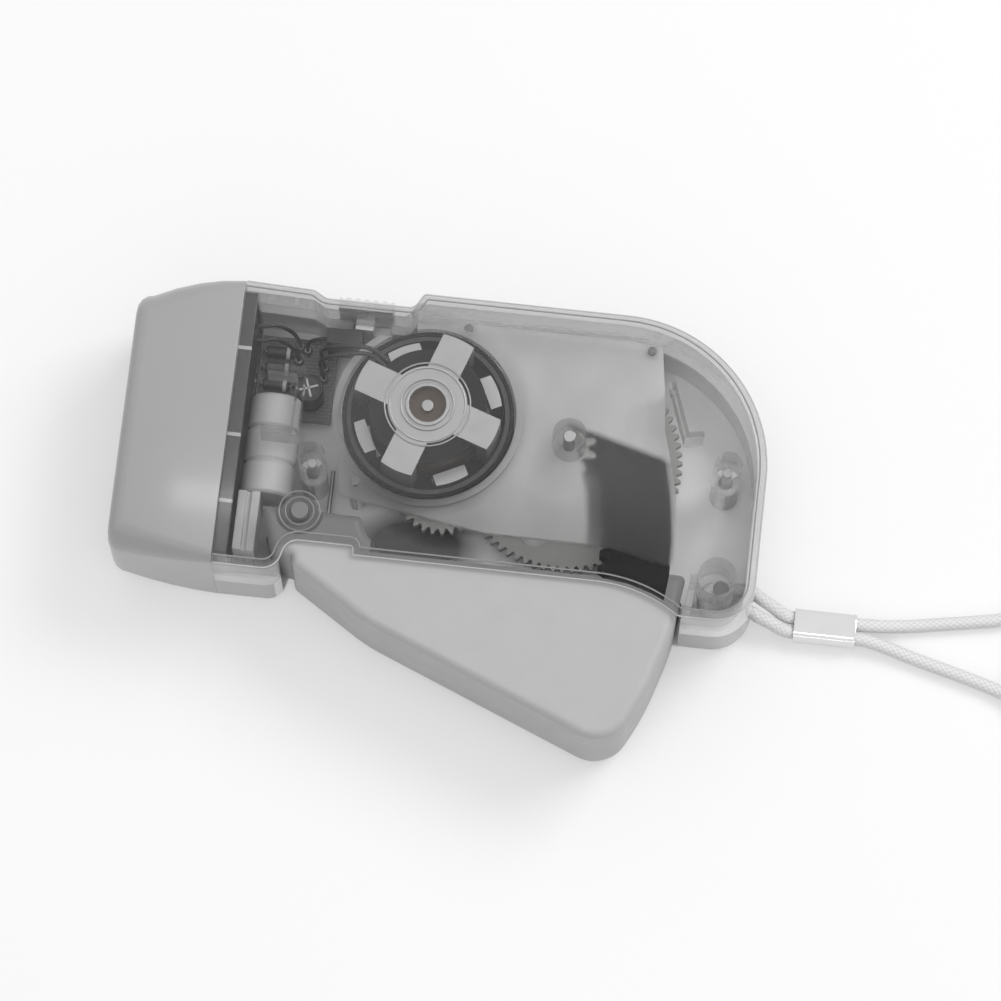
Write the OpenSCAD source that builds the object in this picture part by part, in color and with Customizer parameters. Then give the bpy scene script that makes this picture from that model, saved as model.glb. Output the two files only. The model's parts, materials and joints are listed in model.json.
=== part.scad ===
// Hand-press dynamo flashlight, lying on its back face.
// The origin is on the generator's axis, at the back face. +X runs to the tail,
// +Y to the thumb switch and +Z to the clear front. All sizes are in millimetres.

/* [Body] */
// Thickness of the closed body
body_t = 24; // [23:0.5:28]
// Wall of both shells
wall = 1.6; // [1.2:0.1:1.8]
// Height of the seam between the two shells
seam_z = 11; // [10:0.5:13]
// Rounding of the shells' outer edges
edge_r = 2; // [1:0.25:2.5]
// Radius of the rear top corner
rear_r = 25; // [18:1:26]
// Radius of the rear bottom corner
foot_r = 6.5; // [5:0.5:8]
// Length of the rear foot behind the lever
foot_len = 10.6; // [10:0.2:13]
// Drop of the feet below the lever's pivot
foot_drop = 10.9; // [10:0.1:12]
// Drop of the slot's rim below the lever's pivot
rim_drop = 6.6; // [6:0.1:7.5]
// Distance of the head's seam in front of the pivot
head_ahead = 13.2; // [13:0.2:15]

/* [Lamp head] */
// Length of the lamp head
head_len = 17.5; // [15:0.5:22]
// How much the head's top draws in towards the front
head_taper = 3.2; // [2:0.2:4]
// Rounding of the head's front edge
nose_r = 2.5; // [1.5:0.5:3]
// Width of the lamp window
window_w = 31; // [26:1:32]
// Height of the lamp window
window_h = 12.4; // [10:0.2:12.6]
// Diameter of one LED
led_d = 5; // [3:0.5:5]
// Distance between LEDs
led_pitch = 10; // [9:0.5:10.5]

/* [Gear train] */
// Module of the rack and its pinion
rack_module = 0.8; // [0.75:0.05:0.85]
// Teeth of the whole ring that the rack is cut from
rack_teeth = 124; // [120:1:128]
// Teeth of the drive pinion
pinion_teeth = 10; // [10:1:11]
// Module of the later stages
wheel_module = 0.5; // [0.48:0.01:0.52]
// Teeth of the clutch gear
clutch_teeth = 74; // [70:1:76]
// Teeth of the idler's wheel
idler_teeth = 30; // [28:1:32]
// Teeth of the small pinions on idler and rotor
small_teeth = 12; // [11:1:13]
// Thickness of a gear wheel
wheel_t = 1.5; // [1.2:0.1:1.8]
// Thickness of the sector rack
rack_t = 4.2; // [3.5:0.1:4.6]
// Radius of the drive axle
drive_axle_r = 1; // [0.8:0.05:1.2]
// Radius of the idler axle
idler_axle_r = 0.75; // [0.6:0.05:1]

/* [Generator] */
// Outer radius of the rotor cup
rotor_r = 14.1; // [13.6:0.1:14.4]
// Wall of the rotor cup
cup_wall = 0.65; // [0.5:0.05:0.9]
// Radial thickness of the ring magnet
magnet_t = 0.8; // [0.6:0.1:1]
// Radius of the rotor shaft
shaft_r = 1; // [0.8:0.05:1.2]
// Outer radius of the stator core
core_r = 3.6; // [3.4:0.1:3.9]
// Thickness of the pole plates
pole_t = 1; // [0.8:0.1:1.2]
// Width of a pole arm
pole_w = 5.5; // [4.5:0.25:6]

/* [Lever] */
// Reach of the lever's end from its pivot
lever_reach = 63.5; // [62.5:0.25:66]
// Wall of the lever
lever_wall = 1.5; // [1.2:0.1:1.6]
// Rounding of the lever's edges
lever_edge = 1.6; // [0.8:0.2:2]
// Angle of the lever's tip below the pivot
tip_angle = 32; // [31:0.5:33]
// Radius of the lever's pivot pin
pivot_r = 1.5; // [1.2:0.05:1.8]
// Outer radius of the lever's hub tube
hub_r = 3; // [2.6:0.1:3.1]
// Diameter of the return spring's wire
spring_wire = 0.7; // [0.5:0.05:0.8]
// Turns of the return spring
spring_turns = 6; // [4:1:8]

/* [Switch and inside] */
// Length of the thumb slide
knob_l = 9; // [8:0.5:10]
// Width of the thumb slide
knob_w = 11; // [9:0.5:12]
// Diameter of the battery pack
battery_d = 8.4; // [7.5:0.1:8.8]
// Length of the battery pack
battery_l = 17; // [15:0.5:18]

/* [Strap] */
// Diameter of the wrist cord
cord_d = 2.2; // [1.8:0.1:2.2]
// Length of the metal ferrule
ferrule_l = 10.2; // [8:0.1:10.2]

/* [Fits] */
// Radial running clearance of shafts and pins
run_gap = 0.05; // [0.03:0.01:0.08]
// Radial clearance of pieces that are fixed together
seat_gap = 0.02; // [0.01:0.01:0.05]
// Clearance between a moving piece and its neighbour
move_gap = 0.4; // [0.3:0.05:0.5]
// End play of turning and sliding pieces
end_gap = 0.3; // [0.25:0.05:0.35]
// Backlash of a gear tooth, on each flank
backlash = 0.05; // [0.03:0.01:0.08]

/* [Hidden] */
$fn = 48;

// Overshoot that lets a cut pass cleanly through a face
cut = 0.5;
// Height that each shell is made past the seam, before it is trimmed there
seam_spare = 3;

// Places of the gear train. Each axis is set out from the one before it
pressure_angle = 25;
addendum_share = 0.8;
dedendum_share = 1.05;
idler_dir = -71.5;
clutch_dir = 20;
rack_dir = 22.6;
rotor_axis = [0, 0];
idler_axis = polar(rotor_axis, wheel_module * (idler_teeth + small_teeth) / 2, idler_dir);
drive_axis = polar(idler_axis, wheel_module * (clutch_teeth + small_teeth) / 2, clutch_dir);
pivot = polar(drive_axis, rack_module * (rack_teeth - pinion_teeth) / 2, rack_dir + 180);
clutch_tip_r = wheel_module * (clutch_teeth / 2 + addendum_share);
rack_pitch_r = rack_module * rack_teeth / 2;
rack_root_r = rack_pitch_r + rack_module * dedendum_share;
rack_end_gap = 1.36;
rack_r1 = lever_reach - lever_wall - rack_end_gap;

// Heights, stacked from the back face to the front
inner_z0 = wall;
inner_z1 = body_t - wall;
lever_z0 = inner_z0 + move_gap;
lever_z1 = inner_z1 - move_gap;
clutch_z = lever_z0 + lever_wall + move_gap;
idler_z = clutch_z + wheel_t + move_gap;
rotor_z = idler_z + wheel_t + move_gap;
rotor_floor = 1.2;
ratchet_h = 2.6;
ratchet_z = clutch_z + wheel_t;
flange_t = 0.6;
flange_z = ratchet_z + ratchet_h + move_gap / 2;
rack_z = flange_z + flange_t + move_gap;
plate_z = rack_z + rack_t + 2 * move_gap;
plate_t = 1.2;
pinion_z1 = plate_z - move_gap;
rotor_top = plate_z + plate_t + move_gap / 2;
pole_seat = 0.5;
pole_z1 = inner_z1 - pole_seat;
lower_pole_z = rotor_z + rotor_floor + 2.5 * move_gap;
blind = 0.8;

// Outline of the body
rear_gap = 0.6;
top_y = drive_axis.y + clutch_tip_r + 1.25 * move_gap + wall;
right_x = pivot.x + lever_reach + rear_gap + foot_len;
seam_x = pivot.x - head_ahead;
foot_y = pivot.y - foot_drop;
rim_y = pivot.y - rim_drop;
front_foot_y = foot_y + 0.6;
front_foot_end = pivot.x - 2.6;
arch_y = pivot.y - 5.1;
step_x = pivot.x + 9.2;
foot_face_r = lever_reach + rear_gap;
foot_face_t = 1.2;
foot_face_h = 7.5;
foot_x = polar(pivot, foot_face_r, asin((foot_y - pivot.y) / foot_face_r)).x;
dip_x0 = -20.4;
dip_x1 = -2.6;
dip_y = top_y - 2.5;
head_top_y = top_y - 0.9;
slope = 2;
bend_r = 24;

// Each corner is [x, y, fillet, arc steps, share of an inset that its next edge takes]
body_outline = [
  [seam_x, front_foot_y, 0, 0, 1],
  [front_foot_end, front_foot_y, 3.2, 6, 1],
  [front_foot_end + 1.2, arch_y, 2.5, 6, 1],
  [step_x, arch_y, 0.4, 3, 1],
  [step_x + 0.1, rim_y, 0.4, 3, 1],
  [foot_x - 6.8, rim_y, bend_r, 8, 1],
  [foot_x - 0.6, foot_y, 1.5, 4, 1],
  [right_x, foot_y, foot_r, 10, 1],
  [right_x, top_y, rear_r, 20, 1],
  [dip_x1, top_y, 1, 4, 1],
  [dip_x1 - slope * 0.7, dip_y, 1.5, 4, 1],
  [dip_x0 + slope, dip_y, 2, 4, 1],
  [dip_x0, head_top_y - 0.4, 2, 4, 1],
  [seam_x, head_top_y, 0, 0, 0]
];

// Inside of the body, open to the lamp head and through the lever's slot
cavity_outline = [
  [seam_x - cut, front_foot_y + wall, 0, 0, 1],
  [front_foot_end + cut, front_foot_y + wall, 0, 0, 1],
  [front_foot_end + cut, foot_y - cut, 0, 0, 1],
  [foot_x, foot_y - cut, 0, 0, 1],
  [foot_x, foot_y + wall, 0, 0, 1],
  [right_x - wall, foot_y + wall, foot_r - wall, 8, 1],
  [right_x - wall, top_y - wall, rear_r - wall, 16, 1],
  [dip_x1 - wall / 2, top_y - wall, 0.5, 3, 1],
  [dip_x1 - slope * 0.7 - wall / 2, dip_y - wall, 1.5, 4, 1],
  [dip_x0 + slope, dip_y - wall, 2, 4, 1],
  [dip_x0, head_top_y - 0.4 - wall, 2, 4, 1],
  [seam_x - cut, head_top_y - wall, 0, 0, 0]
];

// Screw posts and supports
screw_r = 0.85;
screw_l = 6;
screw_slack = 0.35;
screw_head_r = screw_r + 1;
screw_head_gap = 0.1;
screw_seat_t = 0.3;
post_r = 2.3;
spring_post = pivot + [0.76, 9.5];
tail_post = [right_x - 6.4, drive_axis.y - 2.3];
screw_posts = [spring_post, tail_post];
strap_post_r = 1.3;
strap_post_gap = 0.35;
strap_post = [right_x - wall - strap_post_r - cord_d - strap_post_gap, foot_y + foot_r + 1];
strap_boss = strap_post - [0.9, 0];
strap_boss_r = 3.15;
strap_pin_l = 2.5;
strap_gap_below = 0.4;
strap_gap_above = 0.7;
plate_post_r = 1.25;
plate_pin_r = 0.7;
plate_pin_h = 0.5;
plate_posts = [
  [5, top_y - wall - plate_post_r - 0.2],
  drive_axis + [11.9, clutch_tip_r - 1.5],
  idler_axis + [-13.9, -2.6]
];
drive_boss_r = 2.8;
pivot_boss_r = 3.5;
pivot_boss_h = 1.2;
axle_boss_wall = 1.4;

// Outline of the lever, set out from its pivot
end_angle = 3.2;
end_wall_angle = 9.2;
hub_rise = 0.5;
lever_tip = polar(pivot, lever_reach, -tip_angle);
lever_outline = [
  [pivot.x - 6.6, pivot.y + hub_rise, 1, 4, 1],
  [pivot.x - 4, pivot.y - 6.4, 1.6, 4, 1],
  [pivot.x - 0.5, pivot.y - 7.1, 0.6, 3, 1],
  [pivot.x - 0.5, pivot.y - 8.6, 1.5, 4, 1],
  [pivot.x + 12.5, pivot.y - 16.9, 30, 5, 1],
  [lever_tip.x, lever_tip.y, 6, 12, 1],
  [polar(pivot, lever_reach, -22).x, polar(pivot, lever_reach, -22).y, 40, 3, 1],
  [polar(pivot, lever_reach, -12).x, polar(pivot, lever_reach, -12).y, 40, 3, 1],
  [polar(pivot, lever_reach, -end_angle).x, polar(pivot, lever_reach, -end_angle).y, 1, 3, 1],
  [pivot.x + 11.5, pivot.y - 3.1, 1.5, 4, 1],
  [pivot.x + 9.9, pivot.y + hub_rise, 1, 4, 1]
];
// Hollow of the lever: its upper side is open
hollow_shares = [-1, 1, 1, 1, 1, 1, 1, 1, -1, -1, -1];
lever_hollow = [for (i = [0 : len(lever_outline) - 1])
  [each [for (k = [0 : 3]) lever_outline[i][k]], hollow_shares[i]]];

// Sector rack
rack_tail_angle = -29.6;
rack_tooth_angles = [-4, 24];
rack_tip_angles = [24.35, 24.6, 17];
// Each bolt's place is its distance inwards from the middle of the rack's web, and its angle
rack_bolt_places = [[0.7, -21.5], [1.3, -28.3]];
rack_bolts = [for (b = rack_bolt_places) polar(pivot, (rack_root_r + rack_r1) / 2 - b[0], b[1])];
rack_bolt_r = 1;
rack_bolt_l = 4;
rack_bolt_gap = 0.1;
rack_head_r = 1.8;
rack_head_t = 1.1;
rack_head_z = rack_z + rack_t - rack_head_t;
rack_boss_t = 0.6;
screw_slot_w = 0.5;
screw_slot_d = 0.5;

// Generator
pole_r = rotor_r - cup_wall - magnet_t - move_gap;
claw_t = 2.2;
arm_dir = 71;
claw_dir = 26;
claw_gap = 2;
claw_rise = 0.4;
pole_hub_r = core_r + 2.9;
pole_boss_r = pole_hub_r + 0.5;
bobbin_r = pole_r - claw_t - 0.4;
flange_h = 0.6;
bobbin_wall = 0.8;
winding_set = 0.4;
magnet_set = 0.2;
shaft_set = 0.4;
core_wall = 0.6;
bush_l = 3;
bush_set = 2;
back_bush_r = 1.8;
rotor_boss_r = 2.8;

// Lamp head
nose_steps = 4;
head_steps = 4;
side_taper = 1.2;
spigot_gap = 0.1;
spigot_t = 1.2;
spigot_l = 2.2;
spigot_root = 1;
spigot_corner = 0.6;
head_round = 2.5;
head_wall = wall + spigot_gap + spigot_t;
head_y = -7;
head_z = body_t / 2;
face_t = 1.6;
lens_t = 1.6;
lens_lip = 1.2;
lens_gap = 0.1;
window_r = 3;
lens_x = seam_x - head_len + face_t;
board_t = 1.4;
board_gap = 0.2;
board_x = seam_x + 0.4;

// Battery, circuit and switch
battery_x = seam_x + spigot_l + 0.3 + battery_d / 2;
battery_y = -16;
battery_z = body_t / 2;
pcb_z = 3;
pcb_t = 1.2;
pcb_post_r = 1.2;
pcb_post_in = 1.5;
pcb_lo = [seam_x + spigot_l + 0.3, battery_y + battery_l - 1.2];
pcb_hi = [-16.5, dip_y - wall - 0.5];
knob_x = -12.1;
knob_travel = 2.5;
knob_z = 11.5;
knob_t = 1.9;
stem_l = 3;
stem_w = 5;
stem_foot_t = 0.6;
switch_lo = [-18, dip_y - wall - stem_foot_t - 3.2, knob_z - 4.5];
switch_hi = [-12.2, dip_y - wall - stem_foot_t - 2 * end_gap, knob_z + 4];

// Wrist cord. The route's points are chosen by hand, from the tail to the coil
cord_r = cord_d / 2;
cord_sides = 8;
coil_sides = 6;
cord_z = 4.6;
bight_r = strap_post_r + cord_r + 0.1;
upper_route = [
  [57.2, -22, 4.6], [59.6, -23.2, 4.1], [61.4, -24, 2.9], [63.4, -24.3, 2.3],
  [68.5, -24.3, 2.3], [73.6, -24.3, 2.3], [76, -24.2, 2.2], [79, -23.9, 1.7],
  [83, -23.3, 1.3], [88, -22.4, 1.3], [93, -21.5, 1.3], [97, -20.7, 1.3],
  [101, -19.2, 1.3], [105, -17.2, 1.4], [109, -15.1, 1.5], [112.5, -14, 1.6], [115, -13.8, 1.6]
];
lower_route = [
  [57.2, -25.2, 4.6], [59.6, -26, 4.1], [61.4, -26.5, 2.9], [63.4, -26.7, 2.3],
  [68.5, -26.7, 2.3], [73.6, -26.7, 2.3], [76, -26.9, 2.2], [79, -27.5, 1.7],
  [83, -28.6, 1.3], [88, -29.9, 1.3], [93, -31.2, 1.3], [98, -32.7, 1.3],
  [102, -34.6, 2], [105.5, -36.7, 3.2], [109, -38.7, 4], [112.5, -39.9, 4.3], [115, -40.2, 4.3]
];
coil_centre = [115, -27];
coil_r = 13.2;
coil_step = 2.7;
coil_turns = 1.25;
coil_rings = 24;
ferrule_axis = [63.4, -25.5, 2.3];
ferrule_wall = 0.5;

// Point at a distance and direction from a centre
function polar(c, r, a) = [c.x + r * cos(a), c.y + r * sin(a)];
function flat(p) = [p.x, p.y];
function unit(v) = v / norm(v);
function lifted(points, z) = [for (p = points) [p.x, p.y, z]];

// Points of one corner of an outline that is drawn in by d
function corner(v, i, d) =
  let (
    n = len(v),
    before = flat(v[(i + n - 1) % n]),
    here = flat(v[i]),
    d1 = unit(here - before),
    d2 = unit(flat(v[(i + 1) % n]) - here),
    turn = d1.x * d2.y - d1.y * d2.x,
    k1 = d * v[(i + n - 1) % n][4],
    k2 = d * v[i][4],
    at = here + [k1 * d2.x - k2 * d1.x, k1 * d2.y - k2 * d1.y] / turn,
    bend = atan2(turn, d1 * d2),
    side = turn > 0 ? 1 : -1,
    r = max(v[i][2] - side * min(k1, k2), 0.1),
    steps = v[i][3]
  )
  steps == 0 ? [at] :
  let (
    start = at - d1 * r * tan(abs(bend) / 2),
    centre = start + side * r * [-d1.y, d1.x],
    a0 = atan2(start.y - centre.y, start.x - centre.x)
  )
  [for (j = [0 : steps]) polar(centre, r, a0 + bend * j / steps)];

function outline(v, d = 0) = [for (i = [0 : len(v) - 1]) each corner(v, i, d)];

// Triangles that fill a flat outline, cut off one corner at a time
function side_of(a, b, c) = (b.x - a.x) * (c.y - a.y) - (b.y - a.y) * (c.x - a.x);
function holds(a, b, c, p) =
  p != a && p != b && p != c &&
  side_of(a, b, p) >= 0 && side_of(b, c, p) >= 0 && side_of(c, a, p) >= 0;
function can_clip(points, left, k) =
  let (
    n = len(left),
    a = points[left[(k + n - 1) % n]],
    b = points[left[k]],
    c = points[left[(k + 1) % n]]
  )
  side_of(a, b, c) > 0 && len([for (i = left) if (holds(a, b, c, points[i])) i]) == 0;
function first_clip(points, left, k = 0) =
  can_clip(points, left, k) ? k : first_clip(points, left, k + 1);
function filled(points, left) =
  len(left) == 3 ? [left] :
  let (n = len(left), k = first_clip(points, left))
  concat(
    [[left[(k + n - 1) % n], left[k], left[(k + 1) % n]]],
    filled(points, [for (i = [0 : n - 1]) if (i != k) left[i]])
  );

// Solid through a row of rings that all have the same number of points
module skin(rings, fill = []) {
  n = len(rings[0]);
  last = (len(rings) - 1) * n;
  sides = [for (k = [0 : len(rings) - 2], i = [0 : n - 1])
    let (a = k * n + i, b = k * n + (i + 1) % n)
    each [[a, a + n, b + n], [a, b + n, b]]];
  fan = [for (i = [1 : n - 2]) [0, i, i + 1]];
  cap = len(fill) > 0 ? fill : fan;
  caps = [for (t = cap) each [t, [last + t[2], last + t[1], last + t[0]]]];
  polyhedron([for (ring = rings) each ring], concat(caps, sides), convexity = 8);
}

// Inset and height of a rounded edge, from the face outwards
round_steps = 4;
function rounding(r) = [for (k = [0 : round_steps])
  let (a = 90 * k / round_steps) [r * (1 - sin(a)), r * (1 - cos(a))]];

// Slab of an outline with its lower and upper edges rounded by r0 and r1
module slab(v, z0, z1, r0, r1) {
  low = r0 > 0 ? [for (p = rounding(r0)) lifted(outline(v, p[0]), z0 + p[1])]
    : [lifted(outline(v), z0)];
  high = r1 > 0 ? [for (k = [round_steps : -1 : 0])
      let (p = rounding(r1)[k]) lifted(outline(v, p[0]), z1 - p[1])]
    : [lifted(outline(v), z1)];
  points = outline(v, max(r0, r1));
  skin(concat(low, high), filled(points, [for (i = [0 : len(points) - 1]) i]));
}
// Straight prism of an outline that is drawn in by d
module prism(v, z0, z1, d = 0) {
  translate([0, 0, z0]) linear_extrude(z1 - z0) polygon(outline(v, d));
}

// Round tube swept along a route
function route_dir(route, i) =
  unit(route[min(i + 1, len(route) - 1)] - route[max(i - 1, 0)]);
function tube_ring(route, i, r, sides) =
  let (
    d = route_dir(route, i),
    u = unit(cross(abs(d.z) > 0.8 ? [1, 0, 0] : [0, 0, 1], d)),
    w = cross(d, u)
  )
  [for (k = [0 : sides - 1]) let (a = 360 * (k + 0.5) / sides)
    route[i] + r * (cos(a) * u + sin(a) * w)];
// Tube along a whole route, or along its points from first to last
module tube(route, r, sides, first = 0, last = -1) {
  skin([for (i = [first : last < 0 ? len(route) - 1 : last]) tube_ring(route, i, r, sides)]);
}

// Least distance between stretches of a route that are more than apart points away
function self_gap(route, d, apart) = min([for (i = [0 : len(route) - 1])
  for (j = [i + apart : 1 : len(route) - 1]) norm(route[i] - route[j])]) - d;

// Involute tooth: half its angle at a radius
function involute(r, base) =
  r <= base ? 0 : let (t = sqrt(r * r / (base * base) - 1)) t * 180 / PI - atan(t);
function tooth_half(r, teeth, m, slack) =
  let (pitch = m * teeth / 2, base = pitch * cos(pressure_angle))
  90 / teeth - slack * 180 / (PI * pitch) + involute(pitch, base) - involute(max(r, base), base);
// Radii at which a flank is drawn, from its root to its tip
function flank_radii(teeth, m, down, up) =
  let (pitch = m * teeth / 2, r0 = pitch - m * down, r1 = pitch + m * up,
    base = max(pitch * cos(pressure_angle), r0))
  [r0, base + 0.01, (base + pitch) / 2, pitch, (pitch + r1) / 2, r1];
function tooth_points(c, teeth, m, a, down, up, slack) =
  let (radii = flank_radii(teeth, m, down, up))
  [for (r = radii) polar(c, r, a - tooth_half(r, teeth, m, slack)),
    for (k = [len(radii) - 1 : -1 : 0])
      polar(c, radii[k], a + tooth_half(radii[k], teeth, m, slack))];
function gear_points(c, teeth, m, phase) =
  [for (i = [0 : teeth - 1]) each tooth_points(
    c, teeth, m, phase + 360 * i / teeth, dedendum_share, addendum_share, backlash)];

module gear(c, teeth, m, phase, z, t) {
  translate([0, 0, z]) linear_extrude(t) polygon(gear_points(c, teeth, m, phase));
}

// Upright cylinder at a place in the plan
module rod(c, r, z0, z1) {
  translate([c.x, c.y, z0]) cylinder(r = r, h = z1 - z0);
}
module ring(c, r0, r1, z0, z1) {
  difference() {
    rod(c, r1, z0, z1);
    rod(c, r0, z0 - cut, z1 + cut);
  }
}
module block(lo, hi) {
  translate(lo) cube(hi - lo);
}

// Wall of the rear foot that faces the lever's end
module foot_face(z0, z1) {
  intersection() {
    ring(pivot, foot_face_r, foot_face_r + foot_face_t, z0, z1);
    block([foot_x - foot_face_t, foot_y + edge_r, z0],
      [foot_x + 4 * foot_face_t, foot_y + foot_face_h, z1]);
  }
}

// Slot in the top wall for the switch's stem
module stem_slot() {
  block(
    [knob_x - stem_l / 2 - move_gap, dip_y - wall - cut, knob_z - stem_w / 2 - move_gap],
    [knob_x + stem_l / 2 + knob_travel + move_gap, dip_y + cut, knob_z + stem_w / 2 + move_gap]
  );
}

// Stop for the lever's end, on the front shell
lever_travel = 20;
stop_gap = 0.2;
stop_lead = 0.6;
stop_at = polar(pivot, lever_reach + stop_gap, lever_travel - end_angle + stop_lead);
module lever_stop() {
  leg = 0.9;
  foot_l = 3.2;
  stem_h = 9.8;
  z0 = rotor_top + 2 * end_gap;
  translate([stop_at.x, stop_at.y, z0]) {
    rotate(10) cube([foot_l, leg, inner_z1 + cut - z0]);
    rotate(110) translate([0, -leg, 0]) cube([stem_h, leg, inner_z1 + cut - z0]);
  }
}

// Ribs of the front shell that hold the battery pack down
clip_t = 1.2;
clip_l = 11.5;
clip_ends = [-1.5, 4.6];
module battery_clip() {
  z0 = battery_z + battery_d / 2 + seat_gap;
  y = battery_y + battery_l / 2;
  x0 = battery_x + clip_ends[0];
  x1 = battery_x + clip_ends[1];
  for (dy = [0, clip_l - clip_t])
    block([x0, y + dy, z0], [x1, y + dy + clip_t, inner_z1 + cut]);
  block([x1 - clip_t, y, z0], [x1, y + clip_l, inner_z1 + cut]);
}

// Block that trims a shell at the seam
module seam_trim(z0, z1) {
  block([seam_x - cut, foot_y - cut, z0], [right_x + cut, top_y + cut, z1]);
}

module front_shell() {
  color([0.82, 0.84, 0.86, 0.4]) difference() {
    union() {
      difference() {
        slab(body_outline, seam_z - seam_spare, body_t, 0, edge_r);
        prism(cavity_outline, seam_z - seam_spare - cut, inner_z1);
        seam_trim(seam_z - 2 * seam_spare, seam_z);
      }
      foot_face(seam_z, inner_z1 + cut);
      for (p = screw_posts) rod(p, post_r, seam_z, inner_z1 + cut);
      rod(strap_boss, strap_boss_r, seam_z, inner_z1 + cut);
      rod(drive_axis, drive_boss_r, plate_z + plate_t, inner_z1 + cut);
      rod(pivot, pivot_boss_r, inner_z1 - pivot_boss_h, inner_z1 + cut);
      rod(rotor_axis, pole_boss_r, pole_z1, inner_z1 + cut);
      lever_stop();
      battery_clip();
    }
    for (p = screw_posts) rod(p, screw_r, seam_z - cut, seam_z + screw_l + 2 * cut);
    rod(strap_post, strap_post_r + seat_gap, seam_z - cut, seam_z + strap_pin_l + cut);
    rod(drive_axis, drive_axle_r + seat_gap, plate_z, body_t - wall - blind);
    rod(pivot, pivot_r + seat_gap, inner_z1 - 2 * pivot_boss_h, body_t - blind);
    rod(rotor_axis, core_r + seat_gap, pole_z1 - cut, inner_z1);
    stem_slot();
  }
}

// Cradle of the battery pack in the back shell
cradle_t = 1.4;
cradle_half = 3.6;
cradle_drop = 1;
cradle_in = [2, 3];
module battery_cradle() {
  for (y = [battery_y + cradle_in[0], battery_y + battery_l - cradle_in[1] - cradle_t])
    difference() {
      block([battery_x - cradle_half, y, inner_z0 - cut],
        [battery_x + cradle_half, y + cradle_t, battery_z - cradle_drop]);
      translate([battery_x, y - cut, battery_z]) rotate([-90, 0, 0])
        cylinder(r = battery_d / 2 + seat_gap, h = cradle_t + 2 * cut);
    }
}

module strap_window() {
  w = bight_r + cord_r;
  block([right_x - wall - cut, strap_post.y - w, cord_z - cord_r - strap_gap_below],
    [right_x + cut, strap_post.y + w, cord_z + cord_r + strap_gap_above]);
}

module back_shell() {
  color([0.62, 0.63, 0.65]) difference() {
    union() {
      difference() {
        slab(body_outline, 0, seam_z + seam_spare, edge_r, 0);
        prism(cavity_outline, inner_z0, seam_z + seam_spare + cut);
        seam_trim(seam_z, seam_z + 2 * seam_spare);
      }
      foot_face(inner_z0 - cut, seam_z);
      for (p = screw_posts) rod(p, post_r, inner_z0 - cut, seam_z);
      rod(strap_post, strap_post_r, inner_z0 - cut, seam_z + strap_pin_l);
      for (p = plate_posts) {
        rod(p, plate_post_r, inner_z0 - cut, plate_z);
        rod(p, plate_pin_r, plate_z - cut, plate_z + plate_t + plate_pin_h);
      }
      rod(drive_axis, drive_axle_r + axle_boss_wall, inner_z0 - cut, clutch_z - end_gap);
      rod(idler_axis, idler_axle_r + axle_boss_wall, inner_z0 - cut, clutch_z - end_gap);
      rod(rotor_axis, rotor_boss_r, inner_z0 - cut, clutch_z - end_gap);
      rod(pivot, pivot_boss_r, inner_z0 - cut, inner_z0 + pivot_boss_h);
      for (x = [pcb_lo.x + pcb_post_in, pcb_hi.x - pcb_post_in],
          y = [pcb_lo.y + pcb_post_in, pcb_hi.y - pcb_post_in])
        rod([x, y], pcb_post_r, inner_z0 - cut, pcb_z);
      battery_cradle();
    }
    for (p = screw_posts) {
      rod(p, screw_r + screw_slack, -cut, seam_z + cut);
      rod(p, screw_head_r + screw_head_gap, -cut, inner_z0 - screw_seat_t);
    }
    rod(drive_axis, drive_axle_r + seat_gap, blind, clutch_z);
    rod(idler_axis, idler_axle_r + seat_gap, blind, clutch_z);
    rod(rotor_axis, back_bush_r + seat_gap, inner_z0, clutch_z);
    rod(pivot, pivot_r + seat_gap, blind, inner_z0 + 2 * pivot_boss_h);
    stem_slot();
    strap_window();
  }
}

// Rounded rectangle across the lamp head, at x, drawn in by d from the body's section
function head_ring(x, top, low, side, r) =
  let (v = [[front_foot_y + low, side, r, 5, 1], [head_top_y - top, side, r, 5, 1],
    [head_top_y - top, body_t - side, r, 5, 1], [front_foot_y + low, body_t - side, r, 5, 1]])
  [for (p = outline(v)) [x, p.x, p.y]];
// t runs from 0 at the seam to 1 where the front edge starts to round
function head_station(t, d, extra = 0) =
  head_ring(seam_x - t * (head_len - nose_r) - extra, head_taper * t * t + d,
    side_taper * t * t + d, side_taper * t * t + d, max(edge_r + head_round * t - d, spigot_corner));
nose_rings = [for (k = [nose_steps : -1 : 1]) let (a = 90 * k / nose_steps)
  head_station(1, nose_r * (1 - cos(a)), nose_r * sin(a))];

module window_prism(x0, x1, grow) {
  w = window_w / 2 + grow;
  h = window_h / 2 + grow;
  v = [[head_y - w, head_z - h, window_r, 6, 1], [head_y + w, head_z - h, window_r, 6, 1],
    [head_y + w, head_z + h, window_r, 6, 1], [head_y - w, head_z + h, window_r, 6, 1]];
  skin([for (x = [x0, x1]) [for (p = outline(v)) [x, p.x, p.y]]]);
}

module head_bezel() {
  outer = concat(nose_rings, [for (k = [head_steps : -1 : 0]) head_station(k / head_steps, 0)]);
  inner = [for (k = [head_steps - 1 : -1 : 0]) head_station(k / head_steps, head_wall)];
  drawn = wall + spigot_gap;
  spigot = [for (x = [seam_x - spigot_root, seam_x + spigot_l])
    head_ring(x, drawn, drawn, drawn, spigot_corner)];
  mouth = head_ring(seam_x + spigot_l + cut, head_wall, head_wall, head_wall, spigot_corner);
  color([0.66, 0.67, 0.68]) difference() {
    union() {
      skin(outer);
      skin(spigot);
    }
    skin(concat(inner, [mouth]));
    window_prism(seam_x - head_len - cut, seam_x - spigot_root, 0);
    window_prism(lens_x, seam_x - spigot_root, lens_lip + lens_gap);
  }
}

module lens() {
  color([0.9, 0.93, 0.95, 0.4]) window_prism(lens_x, lens_x + lens_t, lens_lip);
}

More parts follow.
